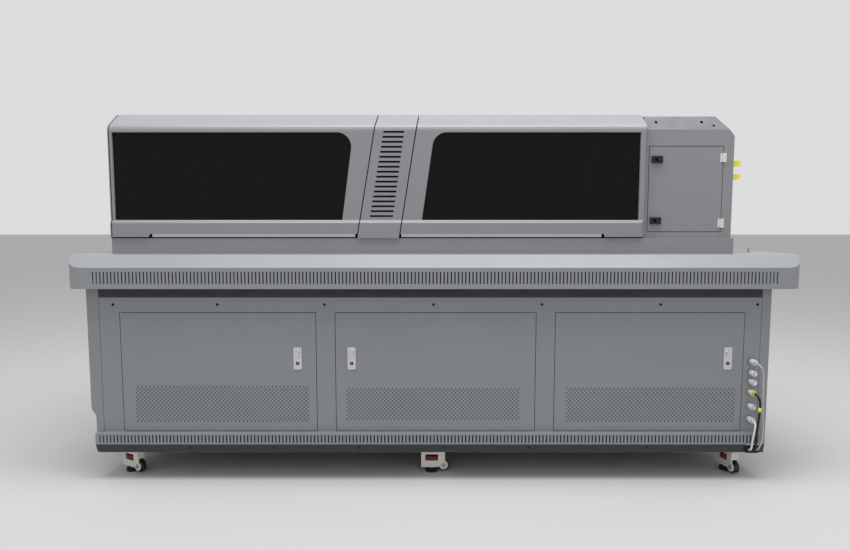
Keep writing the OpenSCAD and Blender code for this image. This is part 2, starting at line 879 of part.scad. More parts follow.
module fixed_knuckles(x) {
  rod_along_x([x - hinge_end, hinge_y, hinge_z], cover_pin_r, 2 * hinge_end);
  for (start = [x - hinge_end, x + hinge_half + 0.5]) {
    l = hinge_end - hinge_half - 0.5;
    rod_along_x([start, hinge_y, hinge_z], knuckle_r, l);
    box([start, hinge_y, crest_z], [start + l, hinge_y + 28, crest_z + sheet_t]);
  }
}

// Hanging aluminium grip bar under a cover's lip
module grip_bar(x0, x1) {
  color("gainsboro")
    box([x0, -hood_y - 2, cover_z0], [x1, -hood_y + 8, cover_z0 + notch_h]);
}

module left_cover() {
  fold_x1 = pillar_left(cover_z0) - cover_gap - hood_t - 1;
  lip_z = cover_z0 + notch_h;
  color("darkgray") {
    difference() {
      hood_skin(hood_x0, end_x0, cover_back, cover_z0) {
        left_cover_outline(0);
        left_cover_outline(hood_t);
      }
      along_y(-hood_y - cut, -hood_y + hood_t + cut)
        left_window_outline();
      along_y(-hood_y - hood_lip - cut, -hood_y + side_fold + cut)
        polygon([
          [notch_x_left, cover_z0 - cut], [notch_x_left + notch_h / 2, lip_z],
          [pillar_x0 + 20, lip_z], [pillar_x0 + 20, cover_z0 - cut]
        ]);
    }
    window_frame_fold()
      left_window_outline();
    box(
      [left_cover_x0 + hood_t, -hood_y - hood_lip + hood_t, lip_z],
      [fold_x1, -hood_y + hood_t + lip_fold, lip_z + sheet_t]
    );
    for (x = HINGES[0])
      cover_knuckle(x);
  }
  grip_bar(notch_x_left + notch_h, fold_x1 - 2);
}

// Plan of the right cover, its outer front corner rounded
module right_cover_plan(i) {
  x1 = right_cover_x1 - i;
  y0 = -hood_y - hood_lip + i;
  r = corner_r - i;
  translate([pillar_x0, y0])
    square([x1 - r - pillar_x0, cover_back + hood_y + hood_lip + 2]);
  translate([pillar_x0, y0 + r])
    square([x1 - pillar_x0, cover_back + hood_y + hood_lip + 2]);
  translate([x1 - r, y0 + r])
    circle(r);
}

module right_cover() {
  fold_x0 = pillar_right(cover_z0) + cover_gap + hood_t + 1;
  lip_z = cover_z0 + notch_h;
  color("darkgray") {
    difference() {
      intersection() {
        along_x(hood_x0, end_x0)
          polygon(hood_section(0, cover_back, cover_z0));
        along_y(-hood_y - hood_lip - cut, cover_back + cut)
          right_cover_outline(0);
        translate([0, 0, cover_z0 - cut])
          linear_extrude(hood_h)
            right_cover_plan(0);
      }
      intersection() {
        along_x(hood_x0, end_x0)
          polygon(hood_section(hood_t, cover_back + cut, cover_z0 - cut));
        along_y(-hood_y - hood_lip - cut, cover_back + 2 * cut)
          right_cover_outline(hood_t);
        translate([0, 0, cover_z0 - 2 * cut])
          linear_extrude(hood_h + 2 * cut)
            right_cover_plan(hood_t);
      }
      box(
        [pillar_x0, -hood_y + side_fold, cover_z0 - cut],
        [end_x0, cover_back + cut, slope_z - 20]
      );
      along_x(pillar_x0, right_cover_x1 - 2 * corner_r)
        polygon(hood_section(pillar_fold, cover_back + cut, cover_z0 - cut));
      along_y(-hood_y - cut, -hood_y + hood_t + cut)
        right_window_outline();
      along_y(-hood_y - hood_lip - cut, -hood_y + side_fold + cut)
        polygon([
          [pillar_x0 + 100, cover_z0 - cut], [pillar_x0 + 100, lip_z],
          [notch_x_right - notch_h / 2, lip_z], [notch_x_right, cover_z0 - cut]
        ]);
    }
    window_frame_fold()
      right_window_outline();
    box(
      [fold_x0, -hood_y - hood_lip + hood_t, lip_z],
      [right_cover_x1 - corner_r, -hood_y + hood_t + lip_fold, lip_z + sheet_t]
    );
    for (x = HINGES[1])
      cover_knuckle(x);
  }
  grip_bar(fold_x0 + 2, notch_x_right - notch_h);
}

module window_pane() {
  color([0.05, 0.05, 0.06])
    along_y(-hood_y + window_recess, -hood_y + window_recess + window_t)
      offset(delta = 4)
        children();
}

// Low wall round the hood's foot, with the rubber stops that the covers close on
module hood_base() {
  lip = 30;
  stop_z = cover_z0 + notch_h - run_gap;
  stop_y = -hood_y + 17;
  color("darkgray") {
    front_and_rear() {
      box([hood_x0, -hood_y, deck_z], [hood_x1, -hood_y + hood_t, hood_base_z]);
      box(
        [hood_x0 + hood_t, -hood_y + hood_t, hood_base_z - hood_t],
        [hood_x1 - hood_t, -hood_y + lip, hood_base_z]
      );
    }
    for (x = [hood_x0, hood_x1 - hood_t])
      box([x, -hood_y + hood_t, deck_z], [x + hood_t, hood_y - hood_t, hood_base_z]);
  }
  color("black")
    for (x = [
      left_cover_x0 + 60, pillar_x0 - 40, pillar_x0 + pillar_foot_w + 20, right_cover_x1 - 90
    ])
      box([x, stop_y, hood_base_z], [x + 20, stop_y + 6, stop_z]);
}

module hood_shell() {
  inner_x = hood_x0 + hood_t;
  color("darkgray") {
    along_x(hood_x0, inner_x)
      polygon(hood_section(0, hood_y, hood_base_z));
    box([inner_x, hood_y - hood_t, hood_base_z], [right_cover_x1, hood_y, crest_z - hood_t]);
    box([inner_x, roof_front, crest_z - hood_t], [right_cover_x1, hood_y, crest_z]);
    box(
      [right_cover_x1 - hood_t, roof_front, end_top - 12],
      [right_cover_x1, hood_y - hood_t, crest_z - hood_t]
    );
    for (pair = HINGES, x = pair)
      fixed_knuckles(x);
  }
}

module centre_pillar() {
  count = 18;
  pitch = 19.9;
  low = cover_z0 + 81;
  louvre_h = 8;
  louvre_w = 94;
  margin = 37;
  color("darkgray")
    difference() {
      hood_skin(hood_x0, end_x0, roof_front, hood_base_z) {
        pillar_outline(0);
        pillar_outline(hood_t);
      }
      for (i = [0:count - 1]) {
        z = low + i * pitch;
        x = pillar_left(z) + margin;
        box([x, -hood_y - cut, z], [x + louvre_w - 0.6 * i, -hood_y + hood_t + cut, z + louvre_h]);
      }
    }
}

// --- end box ---

module end_outline(more) {
  polygon([
    [end_x0 - more, hood_base_z - more], [hood_x1, hood_base_z - more],
    [hood_x1, end_top - end_chamfer_z], [hood_x1 - end_chamfer_x, end_top], [end_x0 - more, end_top]
  ]);
}

module end_section(more) {
  polygon([
    [end_y, hood_base_z - more], [end_y, end_slope_z], [end_y + end_slope_run, end_top],
    [hood_y, end_top], [hood_y, hood_base_z - more]
  ]);
}

module end_box() {
  run_in = 2 * hood_t;
  color("darkgray") {
    difference() {
      intersection() {
        along_y(-hood_y, hood_y + cut)
          end_outline(0);
        along_x(end_x0 - cut, hood_x1 + cut)
          end_section(0);
      }
      intersection() {
        along_y(-hood_y, hood_y + cut)
          offset(delta = -hood_t)
            end_outline(run_in);
        along_x(end_x0 - run_in, hood_x1 + cut)
          offset(delta = -hood_t)
            end_section(run_in);
      }
      box(
        [service_x0 - service_gap, end_y - cut, service_z0 - service_gap],
        [service_x1 + service_gap, end_y + hood_t + cut, service_z1 + service_gap]
      );
      for (p = [[45, end_top - 26, 6], [232, end_top - 26, 6], [278, end_top - 42, 5]])
        rod_along_y([end_x0 + p[0], end_y - cut, p[1]], p[2], end_slope_run + hood_t);
    }
    for (z = SERVICE_HINGE_Z) {
      for (start = [z - 18, z + 6.5])
        service_knuckle(start, 11.5);
      box([service_hinge_x + 1, end_y - 2, z - 18], [service_hinge_x + 12, end_y, z - 6.5]);
      box([service_hinge_x + 1, end_y - 2, z + 6.5], [service_hinge_x + 12, end_y, z + 18]);
      translate([service_hinge_x, end_y - service_knuckle_r, z - 18])
        cylinder(r = service_pin_r, h = 36);
    }
  }
}

module service_knuckle(z, h) {
  translate([service_hinge_x, end_y - service_knuckle_r, z])
    cylinder(r = service_knuckle_r, h = h);
}

module service_door() {
  color("darkgray")
    difference() {
      union() {
        box([service_x0, end_y, service_z0], [service_x1, end_y + hood_t, service_z1]);
        for (z = SERVICE_HINGE_Z) {
          service_knuckle(z - 6, 12);
          box([service_hinge_x - 13, end_y - 2, z - 18], [service_hinge_x - 5.5, end_y, z + 18]);
          box([service_hinge_x - 5.5, end_y - 2, z - 6], [service_hinge_x - 1, end_y, z + 6]);
        }
      }
      for (z = SERVICE_HINGE_Z)
        translate([service_hinge_x, end_y - service_knuckle_r, z - 6 - cut])
          cylinder(r = service_pin_r + pin_play, h = 12 + 2 * cut);
      for (z = BOLT_Z)
        bolt_slot(z);
    }
  color("black")
    for (z = BOLT_Z)
      difference() {
        box([bolt_x0, end_y - 8, z - 14], [bolt_x0 + 44, end_y, z + 14]);
        bolt_slot(z);
      }
}

module bolt_slot(z) {
  box(
    [bolt_x0 + 10, end_y - 8 - cut, z - bolt_slot_half],
    [bolt_x0 + 38, end_y + hood_t + cut, z + bolt_slot_half]
  );
}

// Sliding bolt with its thumb piece, drawn back
module bolt(z) {
  back = end_y + hood_t + run_gap;
  half = bolt_slot_half - run_gap;
  color("black") {
    box([bolt_x0 + 23, end_y - 12, z - 8], [bolt_x0 + 39, end_y - 8 - run_gap, z + 8]);
    box([bolt_x0 + 25, end_y - 8 - run_gap, z - half], [bolt_x0 + 37, back, z + half]);
    box([bolt_x0 - 6, back, z - 8], [bolt_x0 + 37, back + 4, z + 8]);
  }
}

// Yellow hook that holds a spare lead
module lead_hook() {
  y0 = end_y + 20;
  y1 = y0 + 30;
  z0 = hood_base_z + 241;
  h = 77;
  arm = 11;
  reach = 29;
  color("gold")
    along_y(y0, y1) {
      translate([hood_x1, z0])
        square([9, h]);
      for (z = [z0 + arm, z0 + h - arm]) {
        translate([hood_x1, z - arm])
          square([reach, 2 * arm]);
        translate([hood_x1 + reach, z])
          circle(arm);
      }
    }
}

// --- printing gear ---

module vacuum_bed() {
  color("lightgray") {
    difference() {
      box([bed_x0 + 20, bed_y0 + 20, deck_z], [bed_x0 + bed_w - 20, bed_y0 + bed_d - 20, bed_top - 20]);
      box([bed_x0 + 32, bed_y0 + 32, deck_z - cut], [bed_x0 + bed_w - 32, bed_y0 + bed_d - 32, bed_top - 20]);
    }
    box([bed_x0, bed_y0, bed_top - 20], [bed_x0 + bed_w, bed_y0 + bed_d, bed_top]);
  }
}

module y_rails() {
  y1 = hood_y - 27;
  for (x = RAIL_X) {
    color("dimgray")
      box([x - 25, -y1, deck_z], [x + 25, y1, rail_z]);
    color("silver")
      box([x - rail_half, -y1, rail_z], [x + rail_half, y1, rail_top]);
  }
}

// Crossbeam with its legs, which straddle the rails, and the tracks of the carriage
module gantry_beam() {
  y0 = gantry_y - beam_d / 2;
  y1 = gantry_y + beam_d / 2;
  beam_x0 = RAIL_X[0] - 35;
  beam_x1 = RAIL_X[1] + 32;
  color("dimgray") {
    for (x = RAIL_X)
      difference() {
        box([x - leg_half, y0 - 40, rail_z + 3], [x + leg_half, y1 + 40, beam_z0]);
        box(
          [x - rail_half - run_gap, y0 - 40 - cut, rail_z],
          [x + rail_half + run_gap, y1 + 40 + cut, rail_top + run_gap]
        );
      }
    difference() {
      box([beam_x0, y0, beam_z0], [beam_x1, y1, beam_z0 + beam_h]);
      box([beam_x0 - cut, y0 + 4, beam_z0 + 4], [beam_x1 + cut, y1 - 4, beam_z0 + beam_h - 4]);
    }
  }
  color("silver")
    for (z = TRACK_Z)
      box([beam_x0, y0 - track, z - track / 2], [beam_x1, y0, z + track / 2]);
}

module carriage() {
  x0 = carriage_x - carriage_w / 2;
  x1 = carriage_x + carriage_w / 2;
  z1 = carriage_z0 + carriage_h;
  back = carriage_y1;
  track_face = track_y - track;
  color("whitesmoke") {
    difference() {
      box([x0, carriage_y0, carriage_z0], [x1, back, z1]);
      box([x0 + 2.5, carriage_y0 + 2.5, carriage_z0 - cut], [x1 - 2.5, back - 8, z1 - 2.5]);
    }
  }
  color("dimgray")
    for (z = TRACK_Z, x = [x0 + 5, x1 - 65])
      difference() {
        box([x, back, z - 14], [x + 60, track_y - run_gap, z + 14]);
        box(
          [x - cut, track_face - run_gap, z - track / 2 - run_gap],
          [x + 60 + cut, track_y + cut, z + track / 2 + run_gap]
        );
      }
  color("silver")
    for (side = [-1, 1])
      translate([carriage_x + side * rod_x, rod_y, head_z + 20])
        cylinder(r = rod_r, h = z1 - 2.5 - head_z - 20);
}

module head_unit() {
  half = carriage_w / 2 - 10;
  y0 = carriage_y0 + 8;
  plate_z = head_z + 45;
  color("dimgray")
    difference() {
      union() {
        box([carriage_x - half, y0, plate_z], [carriage_x + half, rod_y + 12, plate_z + 8]);
        box([carriage_x - 65, rod_y - 12, plate_z + 8], [carriage_x + 65, rod_y + 12, plate_z + 43]);
      }
      for (side = [-1, 1])
        translate([carriage_x + side * rod_x, rod_y, plate_z - cut])
          cylinder(r = rod_r + run_gap, h = 43 + 2 * cut);
    }
  color("black") {
    for (i = [0:2])
      box(
        [carriage_x - 62 + i * 44, y0 + 4, head_z],
        [carriage_x - 62 + i * 44 + 36, y0 + 84, plate_z]
      );
    for (x = [carriage_x - half, carriage_x + half - 28])
      box([x, y0 + 4, head_z + 6], [x + 28, y0 + 84, plate_z]);
  }
}

module capping_base() {
  y0 = carriage_y0;
  color("dimgray") {
    box([carriage_x - cap_half - 3, y0 + 2, deck_z], [carriage_x + cap_half + 3, y0 + 125, head_z - 30]);
    for (side = [-1, 1])
      translate([carriage_x + side * (cap_half - 10), y0 + 108, head_z - 30])
        cylinder(r = 4, h = 28);
  }
}

// Tray of caps, lowered; the caps line up with the print heads
module cap_tray() {
  y0 = carriage_y0;
  tray_z = head_z - 30 + run_gap;
  cup_z1 = head_z - cap_lift - 0.5;
  color("black")
    difference() {
      union() {
        box([carriage_x - cap_half, y0 + 4, tray_z], [carriage_x + cap_half, y0 + 120, tray_z + 9]);
        for (i = [0:2])
          box(
            [carriage_x - 64 + i * 44, y0 + 10, tray_z + 9],
            [carriage_x - 64 + i * 44 + 40, y0 + 94, cup_z1]
          );
      }
      for (i = [0:2])
        box(
          [carriage_x - 60 + i * 44, y0 + 14, tray_z + 11],
          [carriage_x - 60 + i * 44 + 32, y0 + 90, cup_z1 + cut]
        );
      for (side = [-1, 1])
        translate([carriage_x + side * (cap_half - 10), y0 + 108, tray_z - cut])
          cylinder(r = 4 + pin_play, h = 12);
    }
}

module ink_tanks() {
  depth = 43;
  x1 = hood_x1 - hood_t;
  for (i = [0:5]) {
    y = end_y + 20 + i * 62;
    color("white")
      box([x1 - depth, y, hood_base_z + 119], [x1, y + 55, hood_base_z + 319]);
    color("black")
      translate([x1 - depth / 2, y + 27, hood_base_z + 319])
        cylinder(r = 12, h = 14);
  }
}

module control_unit() {
  color("lightsteelblue") {
    difference() {
      box([left_x + 243, 180, floor_z], [left_x + 693, 400, floor_z + 490]);
      box([left_x + 245, 182, floor_z - cut], [left_x + 691, 398, floor_z + 488]);
    }
    for (x = [left_x + 290, left_x + 420, left_x + 550])
      box([x, 178, floor_z + 40], [x + 100, 180, floor_z + 440]);
  }
}

// Side-channel blower on its feet
module vacuum_blower() {
  axis_z = floor_z + 150;
  y = 260;
  color("slategray") {
    box([-150, y - 110, floor_z], [150, y + 110, floor_z + 10]);
    for (x = [-120, 70])
      box([x, y - 60, floor_z + 10], [x + 40, y + 60, axis_z - 60]);
    rod_along_x([-150, y, axis_z], 130, 110);
    rod_along_x([-40, y, axis_z], 80, 190);
    rod_along_x([-100, y, axis_z + 100], 26, 60);
  }
}

// --- connectors and leads ---

// Round sockets on the panel with their plugs, and the rubber block where the leads go in
module cable_sockets() {
  face = -panel_y;
  for (z = SOCKET_Z) {
    color("silver")
      rod_along_y([socket_x, face - 2, z], 8, 22);
    color("gainsboro")
      along_y(face - 2, face)
        difference() {
          translate([socket_x, z])
            square(24, center = true);
          translate([socket_x, z])
            circle(8);
        }
    color("silver") {
      rod_along_y([socket_x, face - 14, z], 9, 12);
      rod_along_y([socket_x, face - 36, z], 11, 22);
      rod_along_y([socket_x, face - 43, z], 6, 7);
    }
  }
  wedge_y = face - plinth_out;
  color("black")
    along_x(socket_x - 18, socket_x + 34)
      polygon([[wedge_y, plinth_z0], [wedge_y + plinth_bevel_run, plinth_foot_z + sheet_t],
        [wedge_y + plinth_bevel_run, plinth_foot_z], [wedge_y, plinth_foot_z]]);
}

// Leads: points of each route, from its plug to the rubber block
GREY_ROUTE = [
  [1279, -548, 488], [1281, -559, 486], [1286, -567, 480], [1292, -570, 469], [1297, -569, 453],
  [1301, -565, 430], [1304, -560, 402], [1307, -557, 368], [1309, -554, 330], [1312, -552, 290],
  [1315, -551, 250], [1317, -550, 213], [1316, -550, 184], [1311, -551, 164], [1306, -551, 150],
  [1302, -548, 139], [1302, -541, 132], [1302, -533, 130]
];
BLACK_ROUTE = [
  [1279, -548, 364], [1281, -560, 361], [1284, -570, 352], [1287, -573, 339], [1289, -572, 323],
  [1290, -569, 306], [1291, -566, 288], [1291, -563, 268], [1291, -560, 248], [1291, -557, 228],
  [1290, -555, 208], [1290, -553, 190], [1289, -553, 174], [1289, -553, 160], [1288, -552, 149],
  [1288, -548, 138], [1288, -541, 131.5], [1288, -533, 130]
];
WHITE_ROUTE = [
  [1279, -548, 252], [1278, -557, 250.5], [1278, -562, 246], [1277, -565, 239], [1276, -566, 230],
  [1275, -565, 217], [1274, -563, 204], [1274, -560, 191], [1274, -557, 178], [1274, -554, 166],
  [1274, -552, 155], [1274, -551, 146], [1274, -547, 137.5], [1274, -541, 132], [1274, -533, 130]
];
lead_r = 3.5;
black_lead_r = 4.5;
lead_sides = 8;

// Tube along a route; its first and last ring stand square to the Y axis
module lead(route, r) {
  last = len(route) - 1;
  way = [for (i = [0:last])
    i == 0 ? [0, -1, 0] : i == last ? [0, 1, 0] : unit(route[i + 1] - route[i - 1])];
  points = [for (i = [0:last], k = [0:lead_sides - 1])
    let (
      u = unit(cross(way[i], [1, 0, 0])),
      v = cross(way[i], u),
      a = 360 * k / lead_sides
    )
    route[i] + r * (cos(a) * u + sin(a) * v)];
  sides = [for (i = [0:last - 1], k = [0:lead_sides - 1])
    let (
      a = i * lead_sides + k,
      b = i * lead_sides + (k + 1) % lead_sides
    )
    [a, a + lead_sides, b + lead_sides, b]];
  ends = [
    [for (k = [0:lead_sides - 1]) k],
    [for (k = [lead_sides - 1:-1:0]) last * lead_sides + k]
  ];
  polyhedron(points, concat(sides, ends), convexity = 4);
}

base_frame();
front_panel();
outer_panels();
plinth_vents();
top_fascia();
deck_skirt();
hood_base();
hood_shell();
centre_pillar();
end_box();
vacuum_bed();
y_rails();
capping_base();
ink_tanks();
control_unit();
vacuum_blower();
cable_sockets();
lead_hook();
panel_screws();
color("lightgray") lead(GREY_ROUTE, lead_r);  // grey_lead
color("black") lead(BLACK_ROUTE, black_lead_r);  // black_lead
color("white") lead(WHITE_ROUTE, lead_r);  // white_lead
door(DOORS[0]);  // left_door
lock_button(DOORS[0]);  // left_lock_button
lock_cam(DOORS[0]);  // left_lock_cam
door(DOORS[1]);  // middle_door
lock_button(DOORS[1]);  // middle_lock_button
lock_cam(DOORS[1]);  // middle_lock_cam
door(DOORS[2]);  // right_door
lock_button(DOORS[2]);  // right_lock_button
lock_cam(DOORS[2]);  // right_lock_cam
left_cover();
window_pane() left_window_outline();  // left_window
right_cover();
window_pane() right_window_outline();  // right_window
service_door();
bolt(BOLT_Z[1]);  // upper_bolt
bolt(BOLT_Z[0]);  // lower_bolt
gantry_beam();
carriage();
head_unit();
cap_tray();
caster_housing(CASTERS[0]);  // front_left_caster
caster_wheel(CASTERS[0]);  // front_left_wheel
caster_foot(CASTERS[0]);  // front_left_foot
caster_housing(CASTERS[1]);  // front_middle_caster
caster_wheel(CASTERS[1]);  // front_middle_wheel
caster_foot(CASTERS[1]);  // front_middle_foot
caster_housing(CASTERS[2]);  // front_right_caster
caster_wheel(CASTERS[2]);  // front_right_wheel
caster_foot(CASTERS[2]);  // front_right_foot
caster_housing(CASTERS[3]);  // rear_left_caster
caster_wheel(CASTERS[3]);  // rear_left_wheel
caster_foot(CASTERS[3]);  // rear_left_foot
caster_housing(CASTERS[4]);  // rear_middle_caster
caster_wheel(CASTERS[4]);  // rear_middle_wheel
caster_foot(CASTERS[4]);  // rear_middle_foot
caster_housing(CASTERS[5]);  // rear_right_caster
caster_wheel(CASTERS[5]);  // rear_right_wheel
caster_foot(CASTERS[5]);  // rear_right_foot
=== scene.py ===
"""Dresses the flatbed UV printer: finishes for its parts, and the small pieces that the frame leaves out."""

import logging
import math
from collections.abc import Sequence
from dataclasses import dataclass
from enum import Enum

import bpy
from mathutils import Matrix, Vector


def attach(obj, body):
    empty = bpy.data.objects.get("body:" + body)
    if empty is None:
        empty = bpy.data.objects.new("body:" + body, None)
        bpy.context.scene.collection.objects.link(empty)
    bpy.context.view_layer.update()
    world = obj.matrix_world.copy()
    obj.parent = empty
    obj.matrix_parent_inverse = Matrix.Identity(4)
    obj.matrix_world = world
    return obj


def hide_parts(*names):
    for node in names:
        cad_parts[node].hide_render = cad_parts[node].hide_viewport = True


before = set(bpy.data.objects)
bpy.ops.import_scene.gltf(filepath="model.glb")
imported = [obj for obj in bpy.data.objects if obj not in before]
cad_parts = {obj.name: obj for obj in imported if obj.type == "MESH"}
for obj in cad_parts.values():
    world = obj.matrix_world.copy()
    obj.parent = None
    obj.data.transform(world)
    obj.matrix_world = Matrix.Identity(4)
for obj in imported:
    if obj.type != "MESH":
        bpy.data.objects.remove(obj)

LOG = logging.getLogger("printer")
Point = tuple[float, float, float]
Span = tuple[float, float]
Profile = Sequence[tuple[float, float]]
MM = 0.001
FRONT = (0.0, -1.0, 0.0)
UP = (0.0, 0.0, 1.0)
WIDE = 2.0
DEEP = 1.0
DISPLAY_GAMMA = 2.2


class Grain(Enum):
    """How the fine texture of a finish lies on its surface, as stretches along X, Y and Z."""

    PEEL = (1.0, 1.0, 1.0)
    ALONG_X = (0.03, 1.0, 1.0)
    ALONG_Y = (1.0, 0.03, 1.0)
    ALONG_Z = (1.0, 1.0, 0.03)


class Blend(Enum):
    """What a mix node blends: its data type, the number of its first input and of its output."""

    COLOUR = ("RGBA", 6, 2)
    NUMBER = ("FLOAT", 2, 0)


@dataclass(frozen=True)
class Finish:
    """One surface finish, with its fine grain and its slow unevenness."""

    name: str
    colour: Point
    roughness: float
    metallic: float = 0.0
    grain: Grain = Grain.PEEL
    grain_size: float = 1.2 * MM
    relief: float = 0.02 * MM
    unevenness: float = 0.04
    coat: float = 0.0
    alpha: float = 1.0
    specular: float = 0.5

    def linear(self, share: float) -> tuple[float, float, float, float]:
        """The colour in linear light, times share."""
        return tuple(min(1.0, (c**DISPLAY_GAMMA) * share) for c in self.colour) + (1.0,)


@dataclass(frozen=True)
class Zone:
    """A box on a node that has another finish, from one corner to the opposite one, in metres."""

    low: Point
    high: Point
    finish: Finish


def slab(x: Span, y: Span, z: float, half_height: float, finish: Finish) -> Zone:
    """A zone between two X and two Y values, centred on a height, in metres."""
    return Zone((x[0], y[0], z - half_height), (x[1], y[1], z + half_height), finish)


def band(low_z: float, high_z: float, finish: Finish) -> Zone:
    """A zone that takes in the whole machine between two heights, in metres."""
    return Zone((-WIDE, -DEEP, low_z), (WIDE, DEEP, high_z), finish)


def corners(node: str) -> tuple[Vector, Vector]:
    """The box round a frame node.

    Args:
        node: the node's name.

    Returns:
        Its low and its high corner, in metres.
    """
    points = [vertex.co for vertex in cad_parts[node].data.vertices]
    low = Vector([min(point[axis] for point in points) for axis in range(3)])
    high = Vector([max(point[axis] for point in points) for axis in range(3)])
    return low, high


def middle(node: str) -> Vector:
    """The middle of the box round a frame node, in metres."""
    low, high = corners(node)
    return (low + high) / 2


HOOD = Finish("hood_powder_coat", (0.545, 0.545, 0.562), 0.42, relief=0.018 * MM)
# Painted shade: the end box's top slope gets a darker colour than the hood paint, standing in for the lesser
# light that slope catches; its higher roughness makes it duller.
END_SLOPE_SHADE = Finish("end_box_slope_coat", (0.425, 0.43, 0.45), 0.55, relief=0.018 * MM)
CABINET = Finish("cabinet_powder_coat", (0.522, 0.536, 0.548), 0.48)
DECK = Finish("deck_powder_coat", (0.545, 0.555, 0.572), 0.40)
# Painted shade: the fascia in the recess under the deck skirt gets a dark colour for the shade that falls
# there.
FASCIA_SHADE = Finish("fascia_dark_coat", (0.20, 0.20, 0.215), 0.62)
# Painted shade: the plinth's bevel faces down and forward, and this dark colour stands in for the shade it
# lies in.
BEVEL = Finish("plinth_bevel_coat", (0.20, 0.21, 0.22), 0.60)
FRAME_COAT = Finish("frame_dark_coat", (0.27, 0.28, 0.29), 0.60, relief=0.03 * MM)
WINDOW = Finish("smoked_acrylic", (0.085, 0.078, 0.076), 0.07, grain_size=60 * MM, relief=0.05 * MM,
                unevenness=0.1, alpha=0.93, specular=0.15)
ALUMINIUM = Finish("brushed_aluminium", (0.80, 0.80, 0.81), 0.34, 0.9, Grain.ALONG_X, 0.5 * MM)
BED = Finish("anodised_bed", (0.66, 0.67, 0.68), 0.42, 0.8, Grain.ALONG_X, 0.6 * MM)
STEEL = Finish("ground_steel", (0.62, 0.62, 0.64), 0.30, 1.0, Grain.ALONG_Y, 0.4 * MM)
ZINC = Finish("zinc_plate", (0.66, 0.67, 0.66), 0.38, 0.9, unevenness=0.12)
CHROME = Finish("polished_chrome", (0.86, 0.86, 0.87), 0.14, 1.0, relief=0.0)
LOCK_PLATE = Finish("satin_lock_plate", (0.82, 0.80, 0.83), 0.30, 0.35, Grain.ALONG_Z, 0.6 * MM)
HINGE = Finish("white_metal_hinge", (0.90, 0.90, 0.90), 0.30, 0.3)
BLACK = Finish("black_moulding", (0.09, 0.09, 0.095), 0.48, relief=0.03 * MM)
HOLE = Finish("hole_shadow", (0.07, 0.075, 0.08), 0.9)
RUBBER = Finish("black_rubber", (0.075, 0.075, 0.078), 0.75, relief=0.04 * MM)
NYLON = Finish("black_nylon", (0.10, 0.10, 0.105), 0.42)
IVORY = Finish("ivory_moulding", (0.84, 0.84, 0.80), 0.46, relief=0.03 * MM)
THUMB_RED = Finish("dark_red_moulding", (0.42, 0.06, 0.06), 0.45)
SHELL = Finish("off_white_moulding", (0.86, 0.86, 0.87), 0.28, coat=0.2)
TANK = Finish("milky_tank", (0.87, 0.87, 0.83), 0.40)
CONTROL = Finish("control_case_coat", (0.56, 0.58, 0.60), 0.48)
CASTING = Finish("sand_casting", (0.45, 0.47, 0.50), 0.55, 0.5, grain_size=2.5 * MM, relief=0.12 * MM)
NICKEL = Finish("nickel_plug", (0.93, 0.91, 0.94), 0.30, 0.35)
SOCKET = Finish("grey_socket", (0.50, 0.49, 0.52), 0.45)
YELLOW = Finish("yellow_moulding", (0.96, 0.90, 0.16), 0.38)
HOOK_YELLOW = Finish("yellow_hook", (0.97, 0.92, 0.25), 0.36)
GREY_SHEATH = Finish("grey_sheath", (0.70, 0.67, 0.71), 0.45, grain_size=3 * MM)
BLACK_SHEATH = Finish("black_sheath", (0.08, 0.08, 0.085), 0.5, grain_size=3 * MM)
WHITE_SHEATH = Finish("white_sheath", (0.86, 0.86, 0.83), 0.42, grain_size=3 * MM)
SCREW = Finish("black_oxide_screw", (0.07, 0.07, 0.075), 0.40, 0.6)


def feed(tree: bpy.types.NodeTree, target: bpy.types.NodeSocket, value: object) -> None:
    """Links a node's input to a socket, or sets it to a value.

    Args:
        tree: the tree that the node is in.
        target: the node's input.
        value: a socket, a number or a vector.
    """
    if isinstance(value, bpy.types.NodeSocket):
        tree.links.new(value, target)
    else:
        target.default_value = value


def maths(tree: bpy.types.NodeTree, operation: str, a: object, b: object) -> bpy.types.NodeSocket:
    """Adds one sum to a tree.

    Args:
        tree: the tree to add it to.
        operation: the name of the math node's operation.
        a: the first socket or number.
        b: the second socket or number.

    Returns:
        The socket of the result.
    """
    node = tree.nodes.new("ShaderNodeMath")
    node.operation = operation
    feed(tree, node.inputs[0], a)
    feed(tree, node.inputs[1], b)
    return node.outputs[0]


